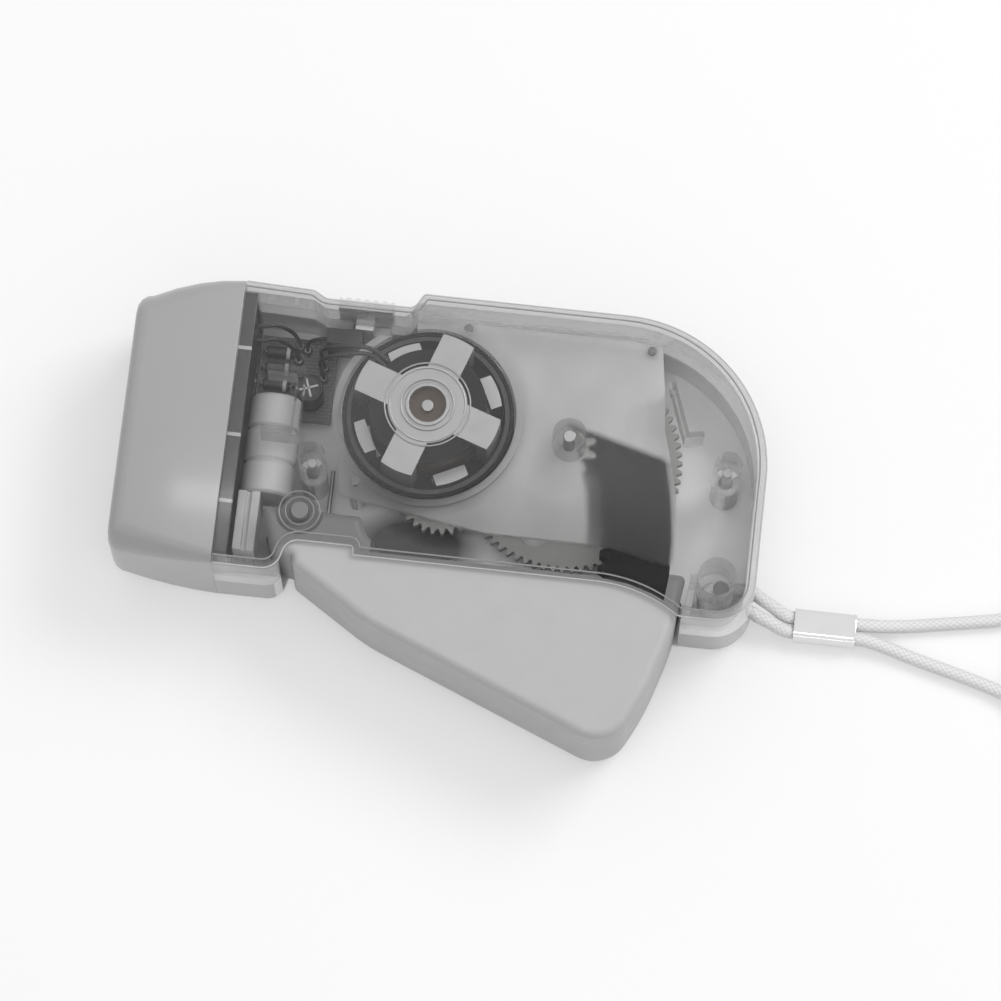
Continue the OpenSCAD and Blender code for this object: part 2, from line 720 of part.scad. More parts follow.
led_places = [for (k = [-1 : 1]) head_y + k * led_pitch];
led_leg_l = 3.4;
led_l = 8.6;
led_base_x = board_x - led_leg_l;
led_rim = 0.6;
led_flange = 0.4;
led_leg_r = 0.3;
led_leg_pitch = 2.54;
cup_r0 = led_d / 2 + 0.2;
cup_r1 = window_h / 2 - 1.1;
cup_floor = 1.5;
module reflector() {
  x0 = lens_x + lens_t;
  back_x = led_base_x - led_rim;
  color([0.8, 0.81, 0.82]) difference() {
    window_prism(x0, board_x, lens_lip);
    for (y = led_places) translate([x0 - cut, y, head_z]) rotate([0, 90, 0]) {
      cylinder(r1 = cup_r1, r2 = cup_r0, h = back_x - x0 + cut - cup_floor);
      cylinder(r = cup_r0, h = board_x - x0);
    }
    window_prism(back_x, board_x + cut, -lens_lip);
  }
}

module leds() {
  body_l = led_l - led_d / 2;
  color([0.92, 0.92, 0.86]) for (y = led_places)
    translate([led_base_x, y, head_z]) rotate([0, -90, 0]) {
      cylinder(r = led_d / 2 + led_flange, h = led_rim - seat_gap);
      cylinder(r = led_d / 2, h = body_l);
      translate([0, 0, body_l]) sphere(r = led_d / 2);
      for (side = [-1, 1]) translate([0, side * led_leg_pitch / 2, -led_leg_l])
        cylinder(r = led_leg_r, h = led_leg_l + led_rim / 2);
    }
}

module led_board() {
  inset = head_wall + board_gap;
  color([0.16, 0.2, 0.18]) block([board_x, front_foot_y + inset, inset],
    [board_x + board_t, head_top_y - inset, body_t - inset]);
}

// Holder of the lower contact, between the lamp head and the lever's hub
holder_w = 3.6;
holder_l = 10;
holder_h = 8;
groove_w = 0.8;
module contact_holder() {
  y1 = battery_y - seat_gap;
  x = pcb_lo.x + holder_w / 2;
  z1 = battery_z + holder_h / 2;
  difference() {
    block([x - holder_w / 2, y1 - holder_l, z1 - holder_h], [x + holder_w / 2, y1, z1]);
    block([x - groove_w / 2, y1 - holder_l - cut, z1 - groove_w],
      [x + groove_w / 2, y1 + cut, z1 + cut]);
  }
}

// Stack of three button cells in a sleeve, with the holder of its lower contact
module battery_pack() {
  cells = 3;
  cell_l = battery_l / cells;
  edge = 0.5;
  r = battery_d / 2;
  color([0.72, 0.73, 0.74]) {
    translate([battery_x, battery_y, battery_z]) rotate([-90, 0, 0])
      rotate_extrude() polygon([[0, 0],
        each [for (k = [0 : cells - 1]) each [
          [r - edge, k * cell_l], [r, k * cell_l + edge],
          [r, (k + 1) * cell_l - edge], [r - edge, (k + 1) * cell_l]]],
        [0, battery_l]]);
    contact_holder();
  }
}

module circuit_board() {
  color([0.13, 0.17, 0.15]) block([pcb_lo.x, pcb_lo.y, pcb_z], [pcb_hi.x, pcb_hi.y, pcb_z + pcb_t]);
}

cap_at = [pcb_hi.x - 3.8, pcb_lo.y + 3.9];
cap_r = 2.4;
cap_h = 7;
diode_r = 1;
diode_l = 4.4;
diode_pitch = 2.8;
diode_at = [1, 2.6];
module board_parts() {
  z = pcb_z + pcb_t;
  color([0.2, 0.2, 0.22]) {
    rod(cap_at, cap_r, z, z + cap_h);
    for (k = [0 : 3])
      translate([each pcb_lo + diode_at + [0, diode_pitch * k], z + diode_r])
        rotate([0, 90, 0]) cylinder(r = diode_r, h = diode_l);
  }
}

lead_r = 0.45;
lead_sides = 6;
coil_lead = polar(rotor_axis, bobbin_r + 0.1, 139);
lead_z = pcb_z + pcb_t;
function coil_lead_route(k) = [
  [coil_lead.x, coil_lead.y + 1.3 * k, 18.2],
  [coil_lead.x - 3, coil_lead.y + 2 + k, 18.2],
  [-14, 8.2 + 1.4 * k, 18],
  [-17, 7.6 + 1.6 * k, 17.2],
  [-18.6, 7.4 + 1.8 * k, 14.6],
  [-18.6, 7.3 + 1.8 * k, 10],
  [-18.4, 7.2 + 1.8 * k, lead_z + 1.5],
  [-18.4, 7.2 + 1.8 * k, lead_z]
];
function lamp_lead_route(k) = let (x = pcb_lo.x, y = pcb_hi.y - 1.6 - 2.4 * k) [
  [board_x + board_t, y - 0.6, 17],
  [board_x + board_t + 1.4, y - 0.6, 17],
  [x + 3, y, 16.4],
  [x + 5.2, y, 13.6],
  [x + 6.2, y, 9],
  [x + 6.4, y, lead_z + 1.5],
  [x + 6.4, y, lead_z]
];
switch_lead_route = let (x = switch_lo.x, y = switch_lo.y + 1.6) [
  [x, y, knob_z],
  [x - 1, y, knob_z],
  [x - 2.6, y - 0.2, knob_z - 1],
  [x - 3.4, y - 0.4, 9],
  [x - 3.6, y - 0.4, lead_z + 1.5],
  [x - 3.6, y - 0.4, lead_z]
];
module wires() {
  color([0.12, 0.12, 0.13]) {
    for (k = [0, 1]) {
      tube(coil_lead_route(k), lead_r, lead_sides);
      tube(lamp_lead_route(k), lead_r, lead_sides);
    }
    tube(switch_lead_route, lead_r, lead_sides);
  }
}

// Switch case with a well for its slider, and a rib that meets the top wall
well_in = 1.2;
well_depth = 0.8;
well_half = 1.5;
case_rib_in = 0.5;
case_rib_t = 0.6;
module switch_body() {
  color([0.3, 0.31, 0.32]) {
    difference() {
      block(switch_lo, switch_hi);
      block([switch_lo.x + well_in, switch_hi.y - well_depth, knob_z - well_half],
        [switch_hi.x - well_in, switch_hi.y + cut, knob_z + well_half]);
    }
    block([switch_lo.x + case_rib_in, switch_hi.y - cut, switch_lo.z],
      [switch_hi.x - case_rib_in, dip_y - wall - seat_gap, switch_lo.z + case_rib_t]);
  }
}

module switch_knob() {
  ribs = 6;
  groove_r = 0.55;
  groove_lift = 0.25;
  stem_foot_in = 1;
  base_y = dip_y + end_gap;
  foot_top = dip_y - wall - end_gap;
  lo = [knob_x - knob_l / 2, base_y, knob_z - knob_w / 2];
  color([0.84, 0.85, 0.86]) {
    difference() {
      block(lo, lo + [knob_l, knob_t, knob_w]);
      for (k = [0 : ribs - 1])
        translate([lo.x + knob_l * (k + 0.5) / ribs, base_y + knob_t + groove_lift, lo.z - cut])
          cylinder(r = groove_r, h = knob_w + 2 * cut);
    }
    block([knob_x - stem_l / 2, dip_y - wall - stem_foot_t, knob_z - stem_w / 2],
      [knob_x + stem_l / 2, base_y + cut, knob_z + stem_w / 2]);
    block([knob_x - stem_l / 2, foot_top - stem_foot_t, knob_z - stem_w / 2 - stem_foot_in],
      [knob_x + stem_l / 2, foot_top, knob_z + stem_w / 2 + stem_foot_in]);
  }
}

// Shares of the lever's height taken by its two sides and the hub
hub_z0 = inner_z0 + pivot_boss_h + end_gap;
hub_z1 = inner_z1 - pivot_boss_h - end_gap;
ear_r = 6;
ear_t = 1.6;
boss_gap_r = pivot_boss_r + move_gap;
end_open = 4;
// The lever's front wall stops just inside the slot's rim, apart from a tab that meets the stop
front_cover = 1.1;
stop_tab_w = 2.8;
front_cut = [
  [pivot.x + 12, rim_y + front_cover],
  [foot_x - 15, rim_y + front_cover],
  [foot_x - 9, rim_y + 0.4],
  [foot_x - 5, rim_y - 0.8],
  [foot_x - 1.6, rim_y - 2.4],
  [foot_x, pivot.y + hub_rise],
  [pivot.x + 12, pivot.y + hub_rise]
];
module front_opening() {
  z0 = lever_z1 - lever_wall - cut;
  intersection() {
    rod(pivot, lever_reach - stop_tab_w, z0, lever_z1 + cut);
    translate([0, 0, z0]) linear_extrude(lever_wall + 2 * cut) polygon(front_cut);
  }
}
module lever() {
  color([0.7, 0.71, 0.72]) difference() {
    union() {
      difference() {
        slab(lever_outline, lever_z0, lever_z1, lever_edge, lever_edge);
        prism(lever_hollow, lever_z0 + lever_wall, lever_z1 - lever_wall, lever_wall);
        difference() {
          ring(pivot, lever_reach - end_open, lever_reach + cut,
            lever_z0 + lever_wall, lever_z1 - lever_wall);
          block([pivot.x, pivot.y - lever_reach, -cut],
            [right_x, polar(pivot, lever_reach, -end_wall_angle).y, body_t]);
        }
      }
      rod(pivot, hub_r, hub_z0, hub_z1);
      for (z = [hub_z0, hub_z1 - ear_t]) intersection() {
        rod(pivot, ear_r, z, z + ear_t);
        block([pivot.x - ear_r, pivot.y - ear_r, 0], [pivot.x + ear_r, pivot.y + hub_rise, body_t]);
      }
      for (b = rack_bolts)
        rod(b, rack_head_r + rack_boss_t, lever_z0 + lever_wall - cut, rack_z);
    }
    rod(pivot, pivot_r + run_gap, 0, body_t);
    rod(pivot, boss_gap_r, lever_z0 - cut, hub_z0);
    rod(pivot, boss_gap_r, hub_z1, lever_z1 + cut);
    front_opening();
    for (b = rack_bolts)
      rod(b, rack_bolt_r, lever_z0 + lever_wall, rack_z + cut);
  }
}

module sector_rack() {
  first = ceil((rack_tooth_angles[0] - rack_dir) * rack_teeth / 360);
  last = floor((rack_tooth_angles[1] - rack_dir) * rack_teeth / 360);
  spaces = [for (i = [first : last]) each tooth_points(pivot, rack_teeth, rack_module,
    rack_dir + 360 * i / rack_teeth, addendum_share, dedendum_share, -backlash)];
  tip_r = rack_pitch_r - rack_module * addendum_share;
  steps = 10;
  outer = [for (k = [0 : steps])
    polar(pivot, rack_r1, rack_tip_angles[2] + (rack_tail_angle - rack_tip_angles[2]) * k / steps)];
  tip = [
    polar(pivot, tip_r, rack_tip_angles[0]),
    polar(pivot, rack_root_r + rack_boss_t, rack_tip_angles[1])
  ];
  inner = [for (k = [0 : steps])
    polar(pivot, tip_r, rack_tail_angle + (rack_tooth_angles[0] - rack_tail_angle) * k / steps)];
  color([0.1, 0.1, 0.11]) difference() {
    translate([0, 0, rack_z]) linear_extrude(rack_t)
      polygon(concat(spaces, tip, outer, inner));
    for (b = rack_bolts) {
      rod(b, rack_bolt_r + rack_bolt_gap, rack_z - cut, rack_z + rack_t + cut);
      rod(b, rack_head_r + rack_bolt_gap, rack_head_z, rack_z + rack_t + cut);
    }
  }
}

module rack_screws() {
  z1 = rack_z + rack_t - rack_bolt_gap;
  color([0.7, 0.7, 0.72]) for (b = rack_bolts) difference() {
    union() {
      rod(b, rack_bolt_r - seat_gap, rack_z - rack_bolt_l, rack_z + rack_t - cut);
      rod(b, rack_head_r, rack_head_z, z1);
    }
    translate([b.x, b.y, z1 - screw_slot_d]) linear_extrude(2 * screw_slot_d)
      square([2 * rack_head_r - screw_slot_w, screw_slot_w], center = true);
  }
}

module lever_pivot_pin() {
  color([0.86, 0.87, 0.88]) rod(pivot, pivot_r, blind, body_t - blind);
}

// Torsion spring round the hub: one leg on the spring post, one in the lever
spring_gap = 0.35;
spring_air = 0.55;
spring_lift = 1;
spring_tail = 2;
spring_leg = [4, 9];
spring_r = hub_r + spring_wire / 2 + spring_gap;
spring_step = spring_wire + spring_air;
spring_z0 = hub_z0 + ear_t + spring_lift;
spring_rings = 8;
spring_last = spring_turns * spring_rings;
spring_sweep = 360 * spring_turns - 40;
spring_route = concat(
  [for (y = [spring_post.y + spring_tail, spring_post.y, pivot.y + spring_leg[0]])
    [pivot.x + spring_r, y, spring_z0]],
  [for (k = [0 : spring_last]) let (a = -spring_sweep * k / spring_last)
    [each polar(pivot, spring_r, a), spring_z0 - spring_step * a / 360]],
  [for (l = spring_leg) let (a = -spring_sweep)
    [pivot.x + spring_r * cos(a) + l * sin(a), pivot.y + spring_r * sin(a) - l * cos(a),
      spring_z0 + spring_step * spring_sweep / 360]]
);
module return_spring() {
  echo(return_spring_least_self_gap = self_gap(spring_route, spring_wire, 5));
  color([0.6, 0.61, 0.62]) tube(spring_route, spring_wire / 2, 6);
}

// Frosted plate over the gear train
plate_gap = 0.5;
plate_reach = lever_reach - lever_wall - plate_gap;
plate_side = top_y - wall - plate_gap;
plate_low = pivot.y + 1.4;
collar_t = 1.15;
collar_h = 0.8;
module gear_plate() {
  edge = polar(pivot, plate_reach, 21);
  low = polar(pivot, plate_reach, -1);
  outline_points = [
    [plate_posts[2].x - 2.4, plate_posts[2].y - 2.4, 1.5, 4, 1],
    [idler_axis.x + 8, plate_low, 6, 4, 1],
    [drive_axis.x + 8, plate_low, 20, 4, 1],
    [low.x - 0.4, low.y + 0.2, 0.8, 3, 1],
    [polar(pivot, plate_reach, 10).x, polar(pivot, plate_reach, 10).y, 30, 4, 1],
    [edge.x, edge.y, 2, 4, 1],
    [plate_posts[1].x + 3, plate_posts[1].y - 8, 2, 4, 1],
    [plate_posts[1].x + 1.7, plate_posts[1].y + 0.9, 1, 3, 1],
    [plate_posts[1].x - 4, plate_side, 1, 3, 1],
    [plate_posts[0].x - 2.4, plate_side, 1, 3, 1],
    [plate_posts[0].x - 14.9, 9, 3, 4, 1],
    [plate_posts[2].x - 3.6, plate_posts[2].y + 6, 3, 4, 1]
  ];
  hole_r = rotor_r + move_gap;
  color([0.8, 0.82, 0.84, 0.7]) difference() {
    union() {
      translate([0, 0, plate_z]) linear_extrude(plate_t) polygon(outline(outline_points));
      rod(rotor_axis, hole_r + collar_t, plate_z, plate_z + plate_t + collar_h);
    }
    rod(rotor_axis, hole_r, plate_z - cut, plate_z + plate_t + collar_h + cut);
    rod(drive_axis, drive_axle_r + seat_gap, plate_z - cut, plate_z + plate_t + cut);
    for (p = plate_posts)
      rod(p, plate_pin_r + seat_gap, plate_z - cut, plate_z + plate_t + collar_h + cut);
    block([-2 * rotor_r, dip_y - wall - stem_foot_t - 3 * move_gap, plate_z - cut],
      [dip_x1 - 0.8, top_y, plate_z + plate_t + collar_h + cut]);
  }
}

// One-way clutch: saw teeth inside a ring on the clutch gear, and two pawls on the pinion
ratchet_teeth = 18;
ratchet_r = 7.2;
ratchet_wall = 1.3;
ratchet_depth = 0.7;
pawl_hub_r = 3;
pawl_core_r = 2.4;
pawl_gap = 0.1;
module drive_pinion() {
  color([0.85, 0.85, 0.83]) difference() {
    union() {
      gear(drive_axis, pinion_teeth, rack_module, rack_dir, flange_z, pinion_z1 - flange_z);
      rod(drive_axis, ratchet_r + ratchet_wall, flange_z, flange_z + flange_t);
      rod(drive_axis, pawl_core_r, ratchet_z + pawl_gap, flange_z + flange_t);
    }
    rod(drive_axis, drive_axle_r + run_gap, 0, plate_z);
  }
}

light_holes = 5;
light_hole_r = 2.6;
light_hole_at = 13.2;
module clutch_gear() {
  saw = [for (i = [0 : ratchet_teeth - 1]) let (a = 360 * i / ratchet_teeth)
    each [polar(drive_axis, ratchet_r - ratchet_depth, a),
      polar(drive_axis, ratchet_r, a + 360 / ratchet_teeth - 1)]];
  color([0.84, 0.84, 0.82]) difference() {
    union() {
      gear(drive_axis, clutch_teeth, wheel_module, clutch_dir + 180, clutch_z, wheel_t);
      rod(drive_axis, ratchet_r + ratchet_wall, ratchet_z - cut, ratchet_z + ratchet_h);
    }
    translate([0, 0, ratchet_z]) linear_extrude(ratchet_h + cut) polygon(saw);
    rod(drive_axis, drive_axle_r + run_gap, 0, body_t);
    for (k = [0 : light_holes - 1])
      rod(polar(drive_axis, light_hole_at, 360 * (k + 0.5) / light_holes), light_hole_r,
        clutch_z - cut, ratchet_z + cut);
  }
}

// A pawl's inner and outer sides leave the hub's radius by these amounts, at its root and its tip
pawl_inner = [-0.2, 3];
pawl_outer = [0.5, 3.6];
pawl_sweep = 100;
pawl_steps = 5;
function pawl_point(side, k) = let (share = k / pawl_steps)
  polar([0, 0], pawl_hub_r + side[0] + (side[1] - side[0]) * share, pawl_sweep * share);
module clutch_pawls() {
  z0 = ratchet_z + 2 * pawl_gap;
  z1 = ratchet_z + ratchet_h - 2 * pawl_gap;
  pawl = [
    polar([0, 0], pawl_hub_r - 0.3, -25),
    for (k = [0 : pawl_steps]) pawl_point(pawl_inner, k),
    for (k = [pawl_steps : -1 : 0]) pawl_point(pawl_outer, k)
  ];
  color([0.62, 0.62, 0.64]) difference() {
    union() {
      rod(drive_axis, pawl_hub_r, z0, z1);
      for (k = [0, 1]) translate([drive_axis.x, drive_axis.y, z0]) rotate(180 * k - 2)
        linear_extrude(z1 - z0) polygon(pawl);
    }
    rod(drive_axis, pawl_core_r + seat_gap, z0 - cut, z1 + cut);
  }
}

module drive_axle() {
  color([0.86, 0.87, 0.88]) rod(drive_axis, drive_axle_r, blind, inner_z1 - blind - pawl_gap);
}

half_tooth = 180 / small_teeth;
module idler_gear() {
  color([0.85, 0.85, 0.83]) difference() {
    union() {
      gear(idler_axis, small_teeth, wheel_module, clutch_dir + half_tooth, clutch_z, idler_z - clutch_z);
      gear(idler_axis, idler_teeth, wheel_module, idler_dir + 180, idler_z, wheel_t);
    }
    rod(idler_axis, idler_axle_r + run_gap, 0, body_t);
  }
}

module idler_axle() {
  color([0.8, 0.81, 0.82]) rod(idler_axis, idler_axle_r, blind, rotor_z - end_gap);
}

module rotor_pinion() {
  color([0.72, 0.6, 0.35]) difference() {
    gear(rotor_axis, small_teeth, wheel_module, idler_dir + half_tooth, idler_z, rotor_z - idler_z);
    rod(rotor_axis, shaft_r + seat_gap, 0, body_t);
  }
}

module rotor_cup() {
  color([0.14, 0.14, 0.15]) difference() {
    rod(rotor_axis, rotor_r, rotor_z, rotor_top);
    rod(rotor_axis, rotor_r - cup_wall, rotor_z + rotor_floor, rotor_top + cut);
    rod(rotor_axis, shaft_r + seat_gap, 0, body_t);
  }
}

module ring_magnet() {
  r1 = rotor_r - cup_wall - seat_gap;
  color([0.2, 0.2, 0.21]) ring(rotor_axis, r1 - magnet_t, r1,
    rotor_z + rotor_floor, rotor_top - magnet_set);
}

module rotor_shaft() {
  color([0.86, 0.87, 0.88]) rod(rotor_axis, shaft_r, inner_z0 + end_gap, pole_z1 - shaft_set);
}

// Pole plate: a disc with four arms and a claw bent from each arm's end
module pole_plate(z, dir, claw_z0, claw_z1) {
  difference() {
    union() {
      rod(rotor_axis, pole_hub_r, z, z + pole_t);
      for (k = [0 : 3]) rotate(dir + 90 * k) {
        block([0, -pole_w / 2, z], [pole_r, pole_w / 2, z + pole_t]);
        block([pole_r - claw_t, -pole_w / 2, claw_z0], [pole_r, pole_w / 2, claw_z1]);
      }
    }
    rod(rotor_axis, core_r + seat_gap, z - cut, z + pole_t + cut);
    ring(rotor_axis, pole_r - run_gap, 2 * pole_r, claw_z0 - cut, claw_z1 + cut);
  }
}
module upper_pole_plate() {
  color([0.74, 0.75, 0.76])
    pole_plate(pole_z1 - pole_t, arm_dir, lower_pole_z + pole_t + claw_gap, pole_z1);
}
module lower_pole_plate() {
  color([0.74, 0.75, 0.76])
    pole_plate(lower_pole_z, claw_dir, lower_pole_z, rotor_top + claw_rise);
}

// Bobbin between the pole plates
bobbin_z0 = lower_pole_z + pole_t;
bobbin_z1 = pole_z1 - pole_t;
module coil_bobbin() {
  color([0.2, 0.2, 0.21]) difference() {
    union() {
      rod(rotor_axis, core_r + seat_gap + bobbin_wall, bobbin_z0, bobbin_z1);
      rod(rotor_axis, bobbin_r, bobbin_z0, bobbin_z0 + flange_h);
      rod(rotor_axis, bobbin_r, bobbin_z1 - flange_h, bobbin_z1);
    }
    rod(rotor_axis, core_r + seat_gap, bobbin_z0 - cut, bobbin_z1 + cut);
  }
}

module coil_winding() {
  color([0.4, 0.24, 0.16]) ring(rotor_axis, core_r + bobbin_wall + 2 * seat_gap, bobbin_r - winding_set,
    bobbin_z0 + flange_h, bobbin_z1 - flange_h);
}

bush_r = core_r - core_wall;
module stator_core() {
  color([0.6, 0.61, 0.62]) ring(rotor_axis, bush_r + seat_gap, core_r, lower_pole_z, inner_z1 - 0.1);
}

module front_bush() {
  color([0.3, 0.27, 0.2]) ring(rotor_axis, shaft_r + run_gap, bush_r,
    pole_z1 - bush_set - bush_l, pole_z1 - bush_set);
}

module back_bush() {
  color([0.72, 0.58, 0.32]) ring(rotor_axis, shaft_r + run_gap, back_bush_r, inner_z0, clutch_z - end_gap);
}

cross_half = 1.2;
cross_w = 0.5;
cross_z1 = 0.7;
module shell_screws() {
  color([0.7, 0.7, 0.72]) for (p = screw_posts) difference() {
    union() {
      rod(p, screw_r - seat_gap, cut, seam_z + screw_l);
      rod(p, screw_head_r, screw_seat_t, inner_z0 - screw_seat_t);
    }
    for (a = [0, 90]) translate([p.x, p.y, 0]) rotate(a)
      block([-cross_half, -cross_w / 2, -cut], [cross_half, cross_w / 2, cross_z1]);
  }
}

// Coil of the wrist loop: it winds inwards below and outwards above
coil_last = 2 * coil_turns * coil_rings;
coil_z = upper_route[len(upper_route) - 1].z;
function coil_point(k) =
  let (
    turns = k / coil_rings,
    inwards = min(turns, 2 * coil_turns - turns),
    rise = min(max((turns - coil_turns) * 2 + 0.5, 0), 1)
  )
  [each polar(coil_centre, coil_r - coil_step * inwards, 90 - 360 * turns),
    coil_z + coil_step * rise * rise * (3 - 2 * rise)];
coil_route = [for (k = [1 : coil_last - 1]) coil_point(k)];

// Part of the cord that goes round the strap post, from the lower strand to the upper one
bight_steps = 12;
bight_reach = 66;
bight_lead = 0.6;
bight_route = [
  lower_route[0] - bight_lead * (lower_route[1] - lower_route[0]),
  for (k = [bight_steps : -1 : 0]) let (a = bight_reach + (360 - 2 * bight_reach) * k / bight_steps)
    [each polar(strap_post, bight_r, a), cord_z],
  upper_route[0] - bight_lead * (upper_route[1] - upper_route[0])
];

// The whole loop in one route: bight, upper strand, coil and lower strand
lower_back = [for (k = [len(lower_route) - 1 : -1 : 0]) lower_route[k]];
strap_route = concat([lower_route[0]], bight_route, upper_route, coil_route, lower_back);
bight_end = len(bight_route) + 1;
upper_end = bight_end + len(upper_route) - 1;
coil_end = upper_end + len(coil_route) + 1;

module strap_bight() {
  color([0.88, 0.88, 0.88]) tube(strap_route, cord_r, cord_sides, 0, bight_end);
}

module strap_cord() {
  color([0.88, 0.88, 0.88]) {
    tube(strap_route, cord_r, cord_sides, bight_end, upper_end);
    tube(strap_route, cord_r, cord_sides, coil_end, len(strap_route) - 1);
  }
}

module strap_coil() {
  echo(strap_coil_least_self_gap = self_gap(coil_route, cord_d, coil_rings - 8));
  color([0.88, 0.88, 0.88]) tube(strap_route, cord_r, coil_sides, upper_end, coil_end);
}

// Band that holds the coil's turns together, on the side that faces the object
tie_t = 0.35;
tie_w = 2;
module strap_tie() {
  turn = coil_r - coil_step * 0.75;
  x = coil_centre.x - turn;
  lo = [x - cord_r - seat_gap, coil_centre.y - tie_w / 2, coil_z - cord_r - seat_gap];
  hi = [x + cord_r + seat_gap, coil_centre.y + tie_w / 2, coil_z + coil_step + cord_r + seat_gap];
  color([0.2, 0.2, 0.21]) difference() {
    block(lo - [tie_t, 0, tie_t], hi + [tie_t, 0, tie_t]);
    block(lo - [0, cut, 0], hi + [0, cut, 0]);
  }
}

// Metal ferrule that clamps the two strands
module ferrule_strand(y, r, grow) {
  translate([ferrule_axis.x - grow, y, ferrule_axis.z]) rotate([0, 90, 0])
    cylinder(r = r, h = ferrule_l + 2 * grow);
}
module strap_ferrule() {
  color([0.9, 0.9, 0.91]) difference() {
    hull() for (y = [upper_route[4].y, lower_route[4].y])
      ferrule_strand(y, cord_r + ferrule_wall, 0, $fn = 32);
    for (y = [upper_route[4].y, lower_route[4].y]) ferrule_strand(y, cord_r + seat_gap, cut);
  }
}

front_shell();
back_shell();
head_bezel();
lens();
reflector();
leds();
led_board();
battery_pack();
circuit_board();
board_parts();
wires();
switch_body();
switch_knob();
lever();
sector_rack();
rack_screws();
lever_pivot_pin();
return_spring();
gear_plate();
drive_pinion();
clutch_gear();
clutch_pawls();
drive_axle();
idler_gear();
idler_axle();
rotor_cup();
ring_magnet();
rotor_shaft();
rotor_pinion();
upper_pole_plate();
lower_pole_plate();
coil_bobbin();
coil_winding();
stator_core();
front_bush();
back_bush();
shell_screws();
strap_bight();
strap_cord();
strap_coil();
strap_tie();
strap_ferrule();
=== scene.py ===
import json
import math

import bpy
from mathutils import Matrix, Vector


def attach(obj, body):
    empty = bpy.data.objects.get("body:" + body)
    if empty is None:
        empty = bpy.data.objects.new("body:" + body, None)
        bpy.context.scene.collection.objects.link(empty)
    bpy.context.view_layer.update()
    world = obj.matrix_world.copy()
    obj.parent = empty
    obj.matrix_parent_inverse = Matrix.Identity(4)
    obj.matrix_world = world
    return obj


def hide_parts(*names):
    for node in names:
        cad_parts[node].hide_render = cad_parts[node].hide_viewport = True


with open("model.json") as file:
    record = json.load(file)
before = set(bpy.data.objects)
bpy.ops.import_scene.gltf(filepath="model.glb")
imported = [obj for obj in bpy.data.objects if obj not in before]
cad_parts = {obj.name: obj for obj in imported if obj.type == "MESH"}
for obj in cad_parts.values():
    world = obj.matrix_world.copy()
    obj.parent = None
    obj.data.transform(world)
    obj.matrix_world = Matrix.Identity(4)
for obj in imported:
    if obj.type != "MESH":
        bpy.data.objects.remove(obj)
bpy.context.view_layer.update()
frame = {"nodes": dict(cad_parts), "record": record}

nodes = frame["nodes"]
slot_of = {p["node"]: p["material_slot"] for p in frame["record"]["subparts"]}
scene = bpy.context.scene
MM = 0.001


def box_of(name):
    """Lowest and highest corner of a CAD node, in millimetres."""
    places = [v.co / MM for v in nodes[name].data.vertices]
    return [Vector([pick(p[i] for p in places) for i in range(3)]) for pick in (min, max)]


def middle_of(name):
    low, high = box_of(name)
    return (low + high) / 2


# Places that the pieces made here share with the solids, in millimetres. The rotor's axis is the origin
ROTOR = Vector((0, 0, 0))
PIVOT = middle_of("lever_pivot_pin") * Vector((1, 1, 0))
SHELL_LOW, SHELL_HIGH = box_of("front_shell")
SEAM_X = box_of("back_shell")[0].x
HEAD = middle_of("lens")
BOARD_LOW, BOARD_FAR = box_of("circuit_board")
BOARD_TOP = BOARD_FAR.z
BOARD_CORNER = Vector((BOARD_LOW.x, BOARD_LOW.y, BOARD_TOP))


# Camera, at the photograph's angle: nearly straight down, turned a little
AZIMUTH = math.radians(6.3)
ELEVATION = math.radians(75.5)
TARGET = Vector((13.3, -12.2, 12)) * MM
DISTANCE = 0.9
FRAME_WIDTH = 0.1641
SENSOR = 36

back = Vector((
    math.sin(AZIMUTH) * math.cos(ELEVATION),
    -math.cos(AZIMUTH) * math.cos(ELEVATION),
    math.sin(ELEVATION),
))
lens_data = bpy.data.cameras.new("camera")
lens_data.sensor_width = SENSOR
lens_data.lens = SENSOR * DISTANCE / FRAME_WIDTH
lens_data.clip_start = 0.01
lens_data.clip_end = 20
camera = bpy.data.objects.new("camera", lens_data)
camera.location = TARGET + back * DISTANCE
camera.rotation_mode = "QUATERNION"
camera.rotation_quaternion = (-back).to_track_quat("-Z", "Y")
scene.collection.objects.link(camera)
scene.camera = camera
scene.view_settings.view_transform = "Standard"


